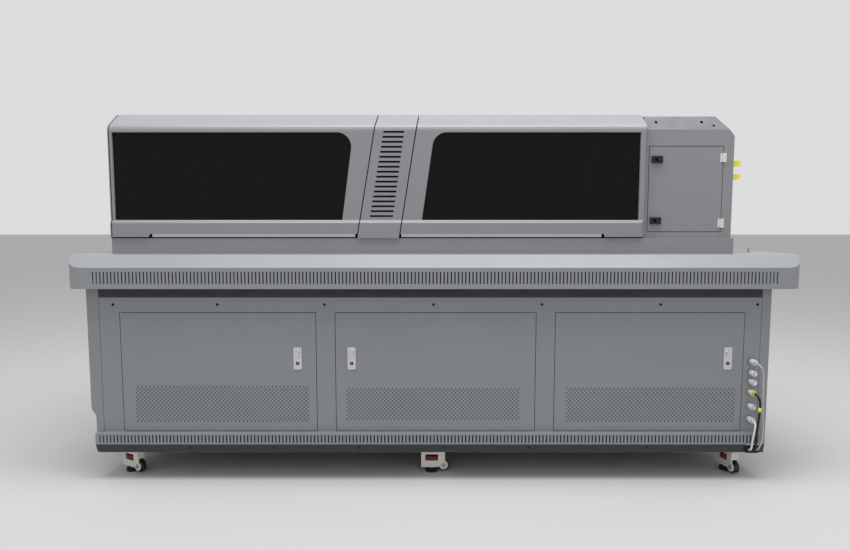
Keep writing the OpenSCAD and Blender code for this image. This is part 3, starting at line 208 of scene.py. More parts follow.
class Paintbox:
    """Makes materials out of finishes, each one once."""

    SLOW_SCALE = 2.3
    SMUDGE_SCALE = 21.0
    FINE_DETAIL = 3.0
    SLOW_DETAIL = 4.0
    SMUDGE_DETAIL = 5.0
    SMUDGE_RANGE = (0.3, 0.7)
    GLOSS_RANGE = (0.88, 1.12)

    def __init__(self) -> None:
        """Starts with no materials made."""
        self.made: dict[tuple, bpy.types.Material] = {}

    def material(self, finish: Finish, *zones: Zone) -> bpy.types.Material:
        """The material of a finish, with other finishes in its zones.

        Args:
            finish: the finish of the surface outside every zone.
            *zones: boxes with finishes of their own; a later one lies over an earlier one.

        Returns:
            The material, the same one each time for the same finish and zones.
        """
        key = (finish, zones)
        if key not in self.made:
            self.made[key] = self._build(finish, zones)
        return self.made[key]

    def _build(self, finish: Finish, zones: tuple[Zone, ...]) -> bpy.types.Material:
        """Builds one material's nodes.

        Args:
            finish: the finish outside every zone.
            zones: the boxes with finishes of their own.

        Returns:
            The new material.
        """
        mat = bpy.data.materials.new(finish.name)
        mat.use_nodes = True
        tree = mat.node_tree
        tree.nodes.clear()
        out = tree.nodes.new("ShaderNodeOutputMaterial")
        shader = tree.nodes.new("ShaderNodeBsdfPrincipled")
        tree.links.new(shader.outputs["BSDF"], out.inputs["Surface"])
        place = tree.nodes.new("ShaderNodeTexCoord").outputs["Object"]
        colour, rough, height = self._layer(tree, place, finish)
        metal = finish.metallic
        mixed_metal = any(zone.finish.metallic != finish.metallic for zone in zones)
        for zone in zones:
            mask = self._inside(tree, place, zone)
            over = self._layer(tree, place, zone.finish)
            colour = self._mix(tree, mask, colour, over[0], Blend.COLOUR)
            rough = self._mix(tree, mask, rough, over[1], Blend.NUMBER)
            height = self._mix(tree, mask, height, over[2], Blend.NUMBER)
            if mixed_metal:
                metal = self._mix(tree, mask, metal, zone.finish.metallic, Blend.NUMBER)
        feed(tree, shader.inputs["Base Color"], colour)
        feed(tree, shader.inputs["Roughness"], rough)
        feed(tree, shader.inputs["Metallic"], metal)
        bump = tree.nodes.new("ShaderNodeBump")
        bump.inputs["Distance"].default_value = 1.0
        bump.inputs["Strength"].default_value = 1.0
        tree.links.new(height, bump.inputs["Height"])
        tree.links.new(bump.outputs["Normal"], shader.inputs["Normal"])
        shader.inputs["Coat Weight"].default_value = finish.coat
        shader.inputs["Alpha"].default_value = finish.alpha
        shader.inputs["Specular IOR Level"].default_value = finish.specular
        return mat

    def _layer(self, tree: bpy.types.NodeTree, place: bpy.types.NodeSocket, finish: Finish) -> tuple:
        """The sockets of one finish.

        Args:
            tree: the material's node tree.
            place: the socket that gives the place on the node.
            finish: the finish to build.

        Returns:
            Its colour, roughness and height sockets.
        """
        mapping = tree.nodes.new("ShaderNodeMapping")
        mapping.inputs["Scale"].default_value = finish.grain.value
        tree.links.new(place, mapping.inputs["Vector"])
        fine = self._noise(tree, mapping.outputs["Vector"], 1.0 / finish.grain_size, self.FINE_DETAIL)
        slow = self._noise(tree, place, self.SLOW_SCALE, self.SLOW_DETAIL)
        smudge = self._noise(tree, place, self.SMUDGE_SCALE, self.SMUDGE_DETAIL)
        dark = finish.linear(1.0 - finish.unevenness)
        light = finish.linear(1.0 + finish.unevenness)
        colour = self._mix(tree, slow, dark, light, Blend.COLOUR)
        rough = tree.nodes.new("ShaderNodeMapRange")
        rough.inputs["From Min"].default_value = self.SMUDGE_RANGE[0]
        rough.inputs["From Max"].default_value = self.SMUDGE_RANGE[1]
        rough.inputs["To Min"].default_value = finish.roughness * self.GLOSS_RANGE[0]
        rough.inputs["To Max"].default_value = min(1.0, finish.roughness * self.GLOSS_RANGE[1])
        tree.links.new(smudge, rough.inputs["Value"])
        height = maths(tree, "MULTIPLY", fine, finish.relief)
        return colour, rough.outputs["Result"], height

    def _noise(self, tree: bpy.types.NodeTree, place: bpy.types.NodeSocket, scale: float,
               detail: float) -> bpy.types.NodeSocket:
        """Adds a noise texture.

        Args:
            tree: the material's node tree.
            place: the socket that gives the place on the node.
            scale: how many blotches fit in a metre.
            detail: how many finer layers it has.

        Returns:
            The socket of its value.
        """
        noise = tree.nodes.new("ShaderNodeTexNoise")
        noise.inputs["Scale"].default_value = scale
        noise.inputs["Detail"].default_value = detail
        tree.links.new(place, noise.inputs["Vector"])
        return noise.outputs["Fac"]

    def _inside(self, tree: bpy.types.NodeTree, place: bpy.types.NodeSocket,
                zone: Zone) -> bpy.types.NodeSocket:
        """Tests whether a place is in a zone.

        Args:
            tree: the material's node tree.
            place: the socket that gives the place on the node.
            zone: the zone to test for.

        Returns:
            A socket that is 1 inside the zone's box and 0 outside it.
        """
        centre = [(a + b) / 2 for a, b in zip(zone.low, zone.high)]
        half = [(b - a) / 2 for a, b in zip(zone.low, zone.high)]
        moved = tree.nodes.new("ShaderNodeVectorMath")
        moved.operation = "SUBTRACT"
        tree.links.new(place, moved.inputs[0])
        moved.inputs[1].default_value = centre
        size = tree.nodes.new("ShaderNodeVectorMath")
        size.operation = "ABSOLUTE"
        tree.links.new(moved.outputs[0], size.inputs[0])
        split = tree.nodes.new("ShaderNodeSeparateXYZ")
        tree.links.new(size.outputs[0], split.inputs[0])
        x, y, z = (maths(tree, "LESS_THAN", split.outputs[axis], half[axis]) for axis in range(3))
        return maths(tree, "MULTIPLY", maths(tree, "MULTIPLY", x, y), z)

    def _mix(self, tree: bpy.types.NodeTree, mask: bpy.types.NodeSocket, under: object, over: object,
             blend: Blend) -> bpy.types.NodeSocket:
        """Mixes two sockets or values by a mask.

        Args:
            tree: the material's node tree.
            mask: 0 for under, 1 for over.
            under: socket or value outside the mask.
            over: socket or value inside the mask.
            blend: whether they are colours or numbers.

        Returns:
            The mixed socket.
        """
        kind, first, result = blend.value
        node = tree.nodes.new("ShaderNodeMix")
        node.data_type = kind
        tree.links.new(mask, node.inputs[0])
        feed(tree, node.inputs[first], under)
        feed(tree, node.inputs[first + 1], over)
        return node.outputs[result]


PAINT = Paintbox()


def spokes(axis: Point, sides: int) -> tuple[Vector, list[Vector]]:
    """Directions along and all round an axis.

    Args:
        axis: the axis, of any length.
        sides: how many directions stand round it.

    Returns:
        The unit vector along the axis, and the unit vectors round it.
    """
    way = Vector(axis).normalized()
    across = way.orthogonal().normalized()
    up = way.cross(across)
    turns = [2 * math.pi * k / sides for k in range(sides)]
    return way, [across * math.cos(turn) + up * math.sin(turn) for turn in turns]


class Shape:
    """Points and faces gathered from turned parts, rings and chamfered blocks."""

    def __init__(self) -> None:
        """Starts empty."""
        self.verts: list[Vector] = []
        self.faces: list[list[int]] = []

    def turned(self, centre: Point, axis: Point, profile: Profile, sides: int = 32,
               rib: float = 0.0) -> "Shape":
        """Adds a turned part with closed ends.

        Args:
            centre: the point on its axis that the profile counts from, in metres.
            axis: the direction of its axis.
            profile: distance along the axis and radius of each ring, in millimetres.
            sides: how many sides it has.
            rib: how deep every second pair of sides is cut in, in millimetres, on rings that are not ends.

        Returns:
            The shape itself.
        """
        way, round_it = spokes(axis, sides)
        start = len(self.verts)
        for ring, (along, radius) in enumerate(profile):
            ribbed = rib > 0 and 0 < ring < len(profile) - 1
            for k, spoke in enumerate(round_it):
                size = radius - (rib if ribbed and k % 4 < 2 else 0.0)
                self.verts.append(Vector(centre) + way * along * MM + spoke * size * MM)
        for ring in range(len(profile) - 1):
            for k in range(sides):
                a = start + ring * sides + k
                b = start + ring * sides + (k + 1) % sides
                self.faces.append([a, b, b + sides, a + sides])
        last = start + (len(profile) - 1) * sides
        self.faces.append([start + k for k in reversed(range(sides))])
        self.faces.append([last + k for k in range(sides)])
        return self

    def ring(self, centre: Point, axis: Point, section: Profile, sides: int = 36) -> "Shape":
        """Adds a ring round an axis.

        Args:
            centre: the point on its axis that the section counts from, in metres.
            axis: the direction of its axis.
            section: distance along the axis and radius of each corner of its closed section, in millimetres.
            sides: how many sides it has.

        Returns:
            The shape itself.
        """
        way, round_it = spokes(axis, sides)
        corners = len(section)
        start = len(self.verts)
        for spoke in round_it:
            for along, radius in section:
                self.verts.append(Vector(centre) + way * along * MM + spoke * radius * MM)
        for k in range(sides):
            here = start + k * corners
            there = start + (k + 1) % sides * corners
            for j in range(corners):
                after = (j + 1) % corners
                self.faces.append([here + j, here + after, there + after, there + j])
        return self

    def plate(self, low: Point, high: Point, chamfer: float) -> "Shape":
        """Adds a block whose front edges are chamfered, the front being its -Y side.

        Args:
            low: its low corner in metres.
            high: its high corner in metres.
            chamfer: the chamfer in metres.

        Returns:
            The shape itself.
        """
        start = len(self.verts)
        (x0, y0, z0), (x1, y1, z1) = low, high
        for y, c in ((y1, 0.0), (y0 + chamfer, 0.0), (y0, chamfer)):
            for x, z in ((x0 + c, z0 + c), (x1 - c, z0 + c), (x1 - c, z1 - c), (x0 + c, z1 - c)):
                self.verts.append(Vector((x, y, z)))
        for ring in range(2):
            for k in range(4):
                a = start + ring * 4 + k
                b = start + ring * 4 + (k + 1) % 4
                self.faces.append([a, a + 4, b + 4, b])
        self.faces.append([start + k for k in range(4)])
        self.faces.append([start + 8 + k for k in reversed(range(4))])
        return self

    def mesh(self, name: str, smooth: bool) -> bpy.types.Mesh:
        """The points and faces as one mesh.

        Args:
            name: the mesh's name.
            smooth: whether its faces are shaded smooth.

        Returns:
            The new mesh.
        """
        mesh = bpy.data.meshes.new(name)
        mesh.from_pydata([tuple(v) for v in self.verts], [], self.faces)
        mesh.validate()
        if smooth:
            mesh.polygons.foreach_set("use_smooth", [True] * len(mesh.polygons))
        return mesh


def ride_piece(name: str, data: bpy.types.ID, body: str) -> bpy.types.Object:
    """Puts a mesh or a curve in the scene as a piece that rides on a body.

    Args:
        name: the piece's name.
        data: its mesh or curve.
        body: the body it moves with.

    Returns:
        The new object.
    """
    obj = bpy.data.objects.new(name, data)
    bpy.context.scene.collection.objects.link(obj)
    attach(obj, body)
    LOG.info("%s rides on %s", name, body)
    return obj


def new_tree(name: str, inputs: dict[str, str]) -> tuple:
    """Starts a Geometry Nodes tree that gives out a geometry.

    Args:
        name: the tree's name.
        inputs: the socket type of each named input.

    Returns:
        The tree, and the sockets of its inputs by name.
    """
    tree = bpy.data.node_groups.new(name, "GeometryNodeTree")
    tree.interface.new_socket("Geometry", in_out="OUTPUT", socket_type="NodeSocketGeometry")
    for label, kind in inputs.items():
        tree.interface.new_socket(label, in_out="INPUT", socket_type="NodeSocket" + kind)
    return tree, tree.nodes.new("NodeGroupInput").outputs


def end_tree(tree: bpy.types.NodeTree, instances: bpy.types.NodeSocket, finish: Finish) -> None:
    """Ends a tree in real geometry with a finish.

    Args:
        tree: the tree to end.
        instances: the socket that gives its instances.
        finish: the finish of every copy.
    """
    real = tree.nodes.new("GeometryNodeRealizeInstances")
    tree.links.new(instances, real.inputs["Geometry"])
    painted = tree.nodes.new("GeometryNodeSetMaterial")
    painted.inputs["Material"].default_value = PAINT.material(finish)
    tree.links.new(real.outputs["Geometry"], painted.inputs["Geometry"])
    tree.links.new(painted.outputs["Geometry"], tree.nodes.new("NodeGroupOutput").inputs["Geometry"])


def grow(start: bpy.types.Mesh, tree: bpy.types.NodeTree, values: dict[str, object]) -> bpy.types.Mesh:
    """Runs a tree on a mesh.

    Args:
        start: the mesh that the tree starts from.
        tree: the Geometry Nodes tree.
        values: the value of each of its named inputs, apart from the mesh.

    Returns:
        The result as a plain mesh.
    """
    holder = bpy.data.objects.new(start.name, start)
    bpy.context.scene.collection.objects.link(holder)
    modifier = holder.modifiers.new("grow", "NODES")
    modifier.node_group = tree
    for item in tree.interface.items_tree:
        if item.in_out == "INPUT" and item.name in values:
            modifier[item.identifier] = values[item.name]
    depsgraph = bpy.context.evaluated_depsgraph_get()
    mesh = bpy.data.meshes.new_from_object(holder.evaluated_get(depsgraph))
    holder.modifiers.clear()
    bpy.data.objects.remove(holder)
    return mesh


class Builder:
    """Shared ways of making pieces and dressing the frame's nodes."""

    WELD_GAP = 0.01 * MM
    SHARP_ANGLE = math.radians(35)

    def piece(self, name: str, shape: Shape, finish: Finish, body: str,
              smooth: bool = False) -> bpy.types.Object:
        """Makes a piece that rides on a body.

        Args:
            name: the piece's name.
            shape: its shape.
            finish: its finish.
            body: the body it moves with.
            smooth: whether its faces are shaded smooth.

        Returns:
            The new object.
        """
        mesh = shape.mesh(name, smooth)
        mesh.materials.append(PAINT.material(finish))
        return ride_piece(name, mesh, body)

    def copies(self, name: str, shape: Shape, places: list[Point], finish: Finish, body: str,
               smooth: bool = False) -> bpy.types.Object:
        """Makes a piece out of copies of one shape, set out by Geometry Nodes.

        Args:
            name: the piece's name.
            shape: the shape to copy.
            places: how far each copy is moved, in metres.
            finish: its finish.
            body: the body it moves with.
            smooth: whether its faces are shaded smooth.

        Returns:
            The new object.
        """
        tree, given = new_tree(name + "_copies", {"Places": "Geometry", "Original": "Object"})
        original = tree.nodes.new("GeometryNodeObjectInfo")
        tree.links.new(given["Original"], original.inputs["Object"])
        spread = tree.nodes.new("GeometryNodeInstanceOnPoints")
        tree.links.new(given["Places"], spread.inputs["Points"])
        tree.links.new(original.outputs["Geometry"], spread.inputs["Instance"])
        end_tree(tree, spread.outputs["Instances"], finish)
        single = bpy.data.objects.new(name + "_original", shape.mesh(name, smooth))
        bpy.context.scene.collection.objects.link(single)
        points = bpy.data.meshes.new(name + "_places")
        points.from_pydata([tuple(place) for place in places], [], [])
        mesh = grow(points, tree, {"Original": single})
        bpy.data.objects.remove(single)
        return ride_piece(name, mesh, body)

    def dress(self, node: str, finish: Finish, *zones: Zone) -> None:
        """Gives a frame node its finish.

        Args:
            node: the node's name.
            finish: its finish.
            *zones: boxes on it with finishes of their own.
        """
        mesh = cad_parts[node].data
        mesh.materials.clear()
        mesh.materials.append(PAINT.material(finish, *zones))

    def soften(self, node: str, width: float) -> None:
        """Rounds a frame node's sharp edges.

        Args:
            node: the node's name.
            width: the width of the rounding, in metres.
        """
        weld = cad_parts[node].modifiers.new("weld", "WELD")
        weld.merge_threshold = self.WELD_GAP
        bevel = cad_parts[node].modifiers.new("edge", "BEVEL")
        bevel.width = width
        bevel.segments = 2
        bevel.limit_method = "ANGLE"
        bevel.angle_limit = self.SHARP_ANGLE
        bevel.harden_normals = False


@dataclass
class Pattern:
    """A grid of small pegs laid out by Geometry Nodes, in the X-Z plane or flat in X-Y."""

    columns: int
    rows: int
    pitch: Span
    stagger: float
    radius: float
    height: float
    sides: int = 8
    flat: bool = False

    INPUTS = {
        "Columns": "Int", "Rows": "Int", "Sides": "Int", "Column pitch": "Float", "Row pitch": "Float",
        "Stagger": "Float", "Radius": "Float", "Height": "Float", "Place": "Vector", "Turn": "Rotation",
    }

    def tree(self, finish: Finish) -> bpy.types.NodeTree:
        """Builds the node tree that lays the pegs out.

        Args:
            finish: the pegs' finish.

        Returns:
            The tree, with its sizes as named inputs.
        """
        tree, given = new_tree("peg_grid", self.INPUTS)
        link = tree.links.new
        grid = tree.nodes.new("GeometryNodeMeshGrid")
        for count, pitch, vertices, size in (("Columns", "Column pitch", "Vertices X", "Size X"),
                                             ("Rows", "Row pitch", "Vertices Y", "Size Y")):
            gaps = maths(tree, "SUBTRACT", given[count], 1.0)
            link(given[count], grid.inputs[vertices])
            link(maths(tree, "MULTIPLY", gaps, given[pitch]), grid.inputs[size])
        index = tree.nodes.new("GeometryNodeInputIndex").outputs[0]
        odd_row = maths(tree, "MODULO", maths(tree, "MODULO", index, given["Rows"]), 2.0)
        shift = tree.nodes.new("ShaderNodeCombineXYZ")
        link(maths(tree, "MULTIPLY", odd_row, given["Stagger"]), shift.inputs["X"])
        moved = tree.nodes.new("GeometryNodeSetPosition")
        link(grid.outputs["Mesh"], moved.inputs["Geometry"])
        link(shift.outputs[0], moved.inputs["Offset"])
        peg = tree.nodes.new("GeometryNodeMeshCylinder")
        link(given["Sides"], peg.inputs["Vertices"])
        link(given["Radius"], peg.inputs["Radius"])
        link(given["Height"], peg.inputs["Depth"])
        pegs = tree.nodes.new("GeometryNodeInstanceOnPoints")
        link(moved.outputs["Geometry"], pegs.inputs["Points"])
        link(peg.outputs["Mesh"], pegs.inputs["Instance"])
        placed = tree.nodes.new("GeometryNodeTransform")
        link(pegs.outputs["Instances"], placed.inputs["Geometry"])
        link(given["Place"], placed.inputs["Translation"])
        link(given["Turn"], placed.inputs["Rotation"])
        end_tree(tree, placed.outputs["Geometry"], finish)
        return tree

    def lay(self, name: str, centre: Point, finish: Finish, body: str) -> bpy.types.Object:
        """Lays the pegs out and makes them one plain piece.

        Args:
            name: the piece's name.
            centre: the middle of the grid, in metres.
            finish: the pegs' finish.
            body: the body they move with.

        Returns:
            The new object.
        """
        values = {
            "Columns": self.columns, "Rows": self.rows, "Sides": self.sides, "Column pitch": self.pitch[0],
            "Row pitch": self.pitch[1], "Stagger": self.stagger, "Radius": self.radius, "Height": self.height,
            "Place": centre, "Turn": (0.0 if self.flat else math.pi / 2, 0.0, 0.0),
        }
        mesh = grow(bpy.data.meshes.new(name + "_grid"), self.tree(finish), values)
        return ride_piece(name, mesh, body)


@dataclass
class Lead:
    """One signal lead, from its plug down to the rubber block at the plinth."""

    name: str
    node: str
    route: list[Point]
    diameter: float
    finish: Finish

    def build(self, *tags: bpy.types.Object) -> bpy.types.Object:
        """Makes the lead as a round curve in place of its frame node.

        Args:
            *tags: pieces that sit on the lead; not used.

        Returns:
            The curve object.
        """
        curve = bpy.data.curves.new(self.name, "CURVE")
        curve.dimensions = "3D"
        curve.bevel_depth = self.diameter / 2
        curve.bevel_resolution = 5
        curve.use_fill_caps = True
        points = smooth_route([Vector(p) * MM for p in self.route])
        spline = curve.splines.new("POLY")
        spline.points.add(len(points) - 1)
        for point, co in zip(spline.points, points):
            point.co = (*co, 1.0)
        spline.use_smooth = True
        curve.materials.append(PAINT.material(self.finish))
        obj = ride_piece(self.name, curve, "machine")
        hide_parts(self.node)
        return obj


def smooth_route(points: list[Vector], steps: int = 5) -> list[Vector]:
    """A finer line through the points of a route.

    Args:
        points: the route's own points.
        steps: how many pieces each stretch is cut into.

    Returns:
        Points on one smooth curve through the given ones.
    """
    out = []
    for i in range(len(points) - 1):
        before = points[max(i - 1, 0)]
        a, b = points[i], points[i + 1]
        after = points[min(i + 2, len(points) - 1)]
        for step in range(steps):
            t = step / steps
            out.append(0.5 * (2 * a + (b - before) * t + (2 * before - 5 * a + 4 * b - after) * t * t
                              + (3 * a - before - 3 * b + after) * t**3))
    return out + [points[-1]]


@dataclass
class Studio:
    """Camera, floor and lights, in metres, degrees and watts."""

    camera_place: Point = (-0.037, -2.991, 1.059)
    pitch_down: float = 5.11
    lens: float = 26.5
    sensor: float = 36.0
    sight: float = 200.0
    floor_half: float = 40.0
    floor_colour: Point = (0.52, 0.52, 0.52)
    floor_roughness: float = 0.9
    sky: float = 0.72
    box_place: Point = (0.1, -1.05, 4.8)
    box_aim: Point = (0.0, -0.3, 0.9)
    box_size: Span = (5.0, 1.8)
    box_power: float = 215.0

    def camera(self) -> None:
        """Makes the scene's camera."""
        data = bpy.data.cameras.new("camera")
        data.sensor_width = self.sensor
        data.lens = self.lens
        data.clip_end = self.sight
        obj = bpy.data.objects.new("camera", data)
        obj.location = self.camera_place
        obj.rotation_euler = (math.radians(90 - self.pitch_down), 0.0, 0.0)
        bpy.context.scene.collection.objects.link(obj)
        bpy.context.scene.camera = obj

    def floor(self) -> None:
        """Lays a plain pale floor."""
        half = self.floor_half
        corner_places = [(-half, -half, 0), (half, -half, 0), (half, half, 0), (-half, half, 0)]
        mesh = bpy.data.meshes.new("floor")
        mesh.from_pydata(corner_places, [], [(0, 1, 2, 3)])
        mat = bpy.data.materials.new("pale_floor")
        mat.use_nodes = True
        shader = mat.node_tree.nodes["Principled BSDF"]
        shader.inputs["Base Color"].default_value = (*self.floor_colour, 1.0)
        shader.inputs["Roughness"].default_value = self.floor_roughness
        mesh.materials.append(mat)
        obj = bpy.data.objects.new("floor", mesh)
        bpy.context.scene.collection.objects.link(obj)

    def soft_box(self) -> None:
        """Hangs the soft box over the printer."""
        data = bpy.data.lights.new("top_soft_box", "AREA")
        data.shape = "RECTANGLE"
        data.size, data.size_y = self.box_size
        data.energy = self.box_power
        obj = bpy.data.objects.new("top_soft_box", data)
        obj.location = self.box_place
        aim = Vector(self.box_aim) - Vector(self.box_place)
        obj.rotation_euler = aim.to_track_quat("-Z", "Y").to_euler()
        bpy.context.scene.collection.objects.link(obj)

    def build(self) -> None:
        """Sets the whole studio up."""
        self.camera()
        self.floor()
        world = bpy.data.worlds.new("soft_white")
        world.use_nodes = True
        back = world.node_tree.nodes["Background"]
        back.inputs["Color"].default_value = (1.0, 1.0, 1.0, 1.0)
        back.inputs["Strength"].default_value = self.sky
        bpy.context.scene.world = world
        bpy.context.scene.view_settings.view_transform = "Standard"
        self.soft_box()


@dataclass
class Cabinet(Builder):
    """Lower cabinet: panels, frame, vents, the screws on the plinth and the rear air holes."""

    caster_plates: Zone = band(0.0, 0.1082, ZINC)
    # Painted shade on the plinth's down-facing bevel.
    plinth_bevel: Zone = Zone((-2, -0.5345, 0.1), (2, 0.5345, 0.1519), BEVEL)
    screw_x: tuple[float, ...] = (-0.989, -0.650, -0.304, 0.041, 0.386, 0.862)
    screw_y: float = -0.5265
    screw_z: float = 0.135
    bevel_slope: Point = (0.0, -34.0, -13.0)
    screw_head: Profile = ((-0.5, 4.5), (0.5, 4.5), (1.3, 3.6), (1.7, 2.0))
    screw_sides: int = 20
    rear_y: float = 0.5051
    air_z: float = 0.60
    air_left_x: float = 0.72
    air_right_x: float = -0.62
    air_columns: int = 44
    air_rows: int = 9
    air_pitch: Span = (10 * MM, 9 * MM)
    air_stagger: float = 5 * MM
    air_radius: float = 2.6 * MM
    air_disc: float = 0.5 * MM

    def build(self) -> None:
        """Dresses the cabinet's nodes and adds its screws and air holes."""
        self.dress("base_frame", FRAME_COAT, self.caster_plates)
        for node in ("front_panel", "outer_panels"):
            self.dress(node, CABINET)
        self.dress("plinth_vents", CABINET, self.plinth_bevel)
        # The fascia's dark colour is painted shade of the recess under the skirt.
        self.dress("top_fascia", FASCIA_SHADE)
        self.dress("control_unit", CONTROL)
        self.dress("vacuum_blower", CASTING)
        self.dress("panel_screws", SCREW)
        self.dress("deck_skirt", DECK)
        head = Shape().turned((0.0, self.screw_y, self.screw_z), self.bevel_slope, self.screw_head,
                              self.screw_sides)
        places = [(x, 0.0, 0.0) for x in self.screw_x]
        self.copies("plinth_screws", head, places, SCREW, "machine", smooth=True)
        holes = Pattern(self.air_columns, self.air_rows, self.air_pitch, self.air_stagger, self.air_radius,
                        self.air_disc)
        for name, x in (("rear_left_air_holes", self.air_left_x), ("rear_right_air_holes", self.air_right_x)):
            holes.lay(name, (x, self.rear_y, self.air_z), HOLE, "machine")


@dataclass
class Doors(Builder):
    """The three cabinet doors with their perforations and locks.

    Each perforated field has its door's name and its left, right, low and high edge.
    """

    perforated: tuple[tuple[str, float, float, float, float], ...] = (
        ("left", -1.215, -0.505, 0.236, 0.386),
        ("middle", -0.363, 0.353, 0.244, 0.377),
        ("right", 0.530, 1.227, 0.236, 0.378),
    )
    plate_thickness: float = 2.5 * MM
    column_pitch: float = 16 * MM
    row_pitch: float = 8.4 * MM
    hole_radius: float = 2.8 * MM
    hole_disc: float = 0.5 * MM
    hole_place: float = 0.1 * MM
    plate_drop: float = 0.022
    plate_half_width: float = 0.0175
    plate_half_height: float = 0.047
    plate_depth: Span = (-0.509, -0.50505)
    button_bore: float = 8.9
    dome: Profile = ((-0.1, 7.9), (0.35, 7.4), (0.75, 5.6), (0.95, 3.0), (1.0, 1.0))
    barrel_drop: float = 0.042
    barrel_bore: float = 7.3
    collar_width: float = 2.6
    collar_height: float = 0.9
    slot_half: Span = (0.9 * MM, 4.5 * MM)
    slot_depth: Span = (1.35 * MM, 0.95 * MM)
    slot_chamfer: float = 0.3 * MM
    boss: Profile = ((-0.1, 2.2), (0.3, 2.0), (0.35, 1.2))
    boss_sides: int = 20

    def build(self) -> None:
        """Dresses the doors and adds their perforations and lock details."""
        for side, x0, x1, z0, z1 in self.perforated:
            button = middle(side + "_lock_button")
            button.y = corners(side + "_door")[0].y
            plate_x = (button.x - self.plate_half_width, button.x + self.plate_half_width)
            plate_z = button.z - self.plate_drop
            plate = slab(plate_x, self.plate_depth, plate_z, self.plate_half_height, LOCK_PLATE)
            self.dress(side + "_door", CABINET, plate)
            self.dress(side + "_lock_button", CHROME)
            self.dress(side + "_lock_cam", BLACK)
            columns = int((x1 - x0) / self.column_pitch)
            rows = int((z1 - z0) / self.row_pitch) + 1
            grid = Pattern(columns, rows, (self.column_pitch, self.row_pitch), self.column_pitch / 2,
                           self.hole_radius, self.hole_disc)
            disc_y = button.y + self.plate_thickness + self.hole_place
            centre = ((x0 + x1) / 2 - self.column_pitch / 4, disc_y, (z0 + z1) / 2)
            grid.lay(side + "_door_perforations", centre, HOLE, side + "_door")
            self.lock_details(side, button)

    def lock_details(self, side: str, button: Vector) -> None:
        """Adds a lock's collars, its button's dome and its keyway.

        Args:
            side: which door the lock is on.
            button: the button's centre on the face of the lock plate, in metres.
        """
        barrel = button - Vector((0.0, 0.0, self.barrel_drop))
        collars = Shape()
        collars.ring(button, FRONT, self.collar_section(self.button_bore))
        collars.ring(barrel, FRONT, self.collar_section(self.barrel_bore))
        self.piece(side + "_lock_collars", collars, CHROME, side + "_door", smooth=True)
        button_end = Vector((button.x, corners(side + "_lock_button")[0].y, button.z))
        dome = Shape().turned(button_end, FRONT, self.dome)
        self.piece(side + "_lock_button_dome", dome, CHROME, side + "_lock_button", smooth=True)
        half_x, half_z = self.slot_half
        near, far = self.slot_depth
        low = barrel - Vector((half_x, near, half_z))
        high = barrel + Vector((half_x, -far, half_z))
        keyway = Shape().plate(low, high, self.slot_chamfer)
        barrel_end = Vector((barrel.x, corners(side + "_lock_cam")[0].y, barrel.z))
        keyway.turned(barrel_end, FRONT, self.boss, self.boss_sides)
        self.piece(side + "_lock_keyway", keyway, ZINC, side + "_lock_cam")

    def collar_section(self, bore: float) -> Profile:
        """The section of the collar round a bore, in millimetres.

        Args:
            bore: the bore's radius.

        Returns:
            Distance along the axis and radius of each corner.
        """
        outer = bore + self.collar_width
        high = self.collar_height
        return [(-0.2, outer), (high * 0.6, outer), (high, outer - 0.5), (high, bore + 0.3), (0.05, bore)]


@dataclass
class Hood(Builder):
    """Hood with its covers, windows, pillar and end box."""

    stops: Zone = Zone((-1.4, -0.4105, 0.9812), (0.9, -0.4035, 0.9989), RUBBER)
    grips: Zone = Zone((-1.3, -0.4295, 0.9855), (0.9, -0.4185, 0.99895), ALUMINIUM)
    # Painted shade: a darker colour on the end box's top slope.
    end_slope_shade: Zone = Zone((0.85, -0.4005, 1.4236), (1.24, -0.3585, 1.4805), END_SLOPE_SHADE)
    hinge_x: Span = (1.169, 1.197)
    hinge_z: tuple[float, ...] = (1.042, 1.309)
    hinge_half: float = 0.0185
    box_leaf_y: Span = (-0.412, -0.3999)
    door_leaf_y: Span = (-0.412, -0.4001)
    latch_x: Span = (0.889, 0.935)
    latch_y: Span = (-0.41, -0.40005)
    latch_z: tuple[float, ...] = (1.052, 1.301)
    latch_half: float = 0.0145

    def build(self) -> None:
        """Dresses the hood's nodes."""
        self.dress("hood_base", HOOD, self.stops)
        for node in ("hood_shell", "centre_pillar"):
            self.dress(node, HOOD)
        box_leaves = [slab(self.hinge_x, self.box_leaf_y, z, self.hinge_half, HINGE) for z in self.hinge_z]
        # The end box's top slope carries painted shade.
        self.dress("end_box", HOOD, self.end_slope_shade, *box_leaves)
        door_leaves = [slab(self.hinge_x, self.door_leaf_y, z, self.hinge_half, HINGE) for z in self.hinge_z]
        latches = [slab(self.latch_x, self.latch_y, z, self.latch_half, BLACK) for z in self.latch_z]
        self.dress("service_door", HOOD, *door_leaves, *latches)
        for node in ("left_cover", "right_cover"):
            self.dress(node, HOOD, self.grips)
        for node in ("left_window", "right_window"):
            self.dress(node, WINDOW)
        for node in ("upper_bolt", "lower_bolt"):
            self.dress(node, BLACK)
        self.dress("lead_hook", HOOK_YELLOW)


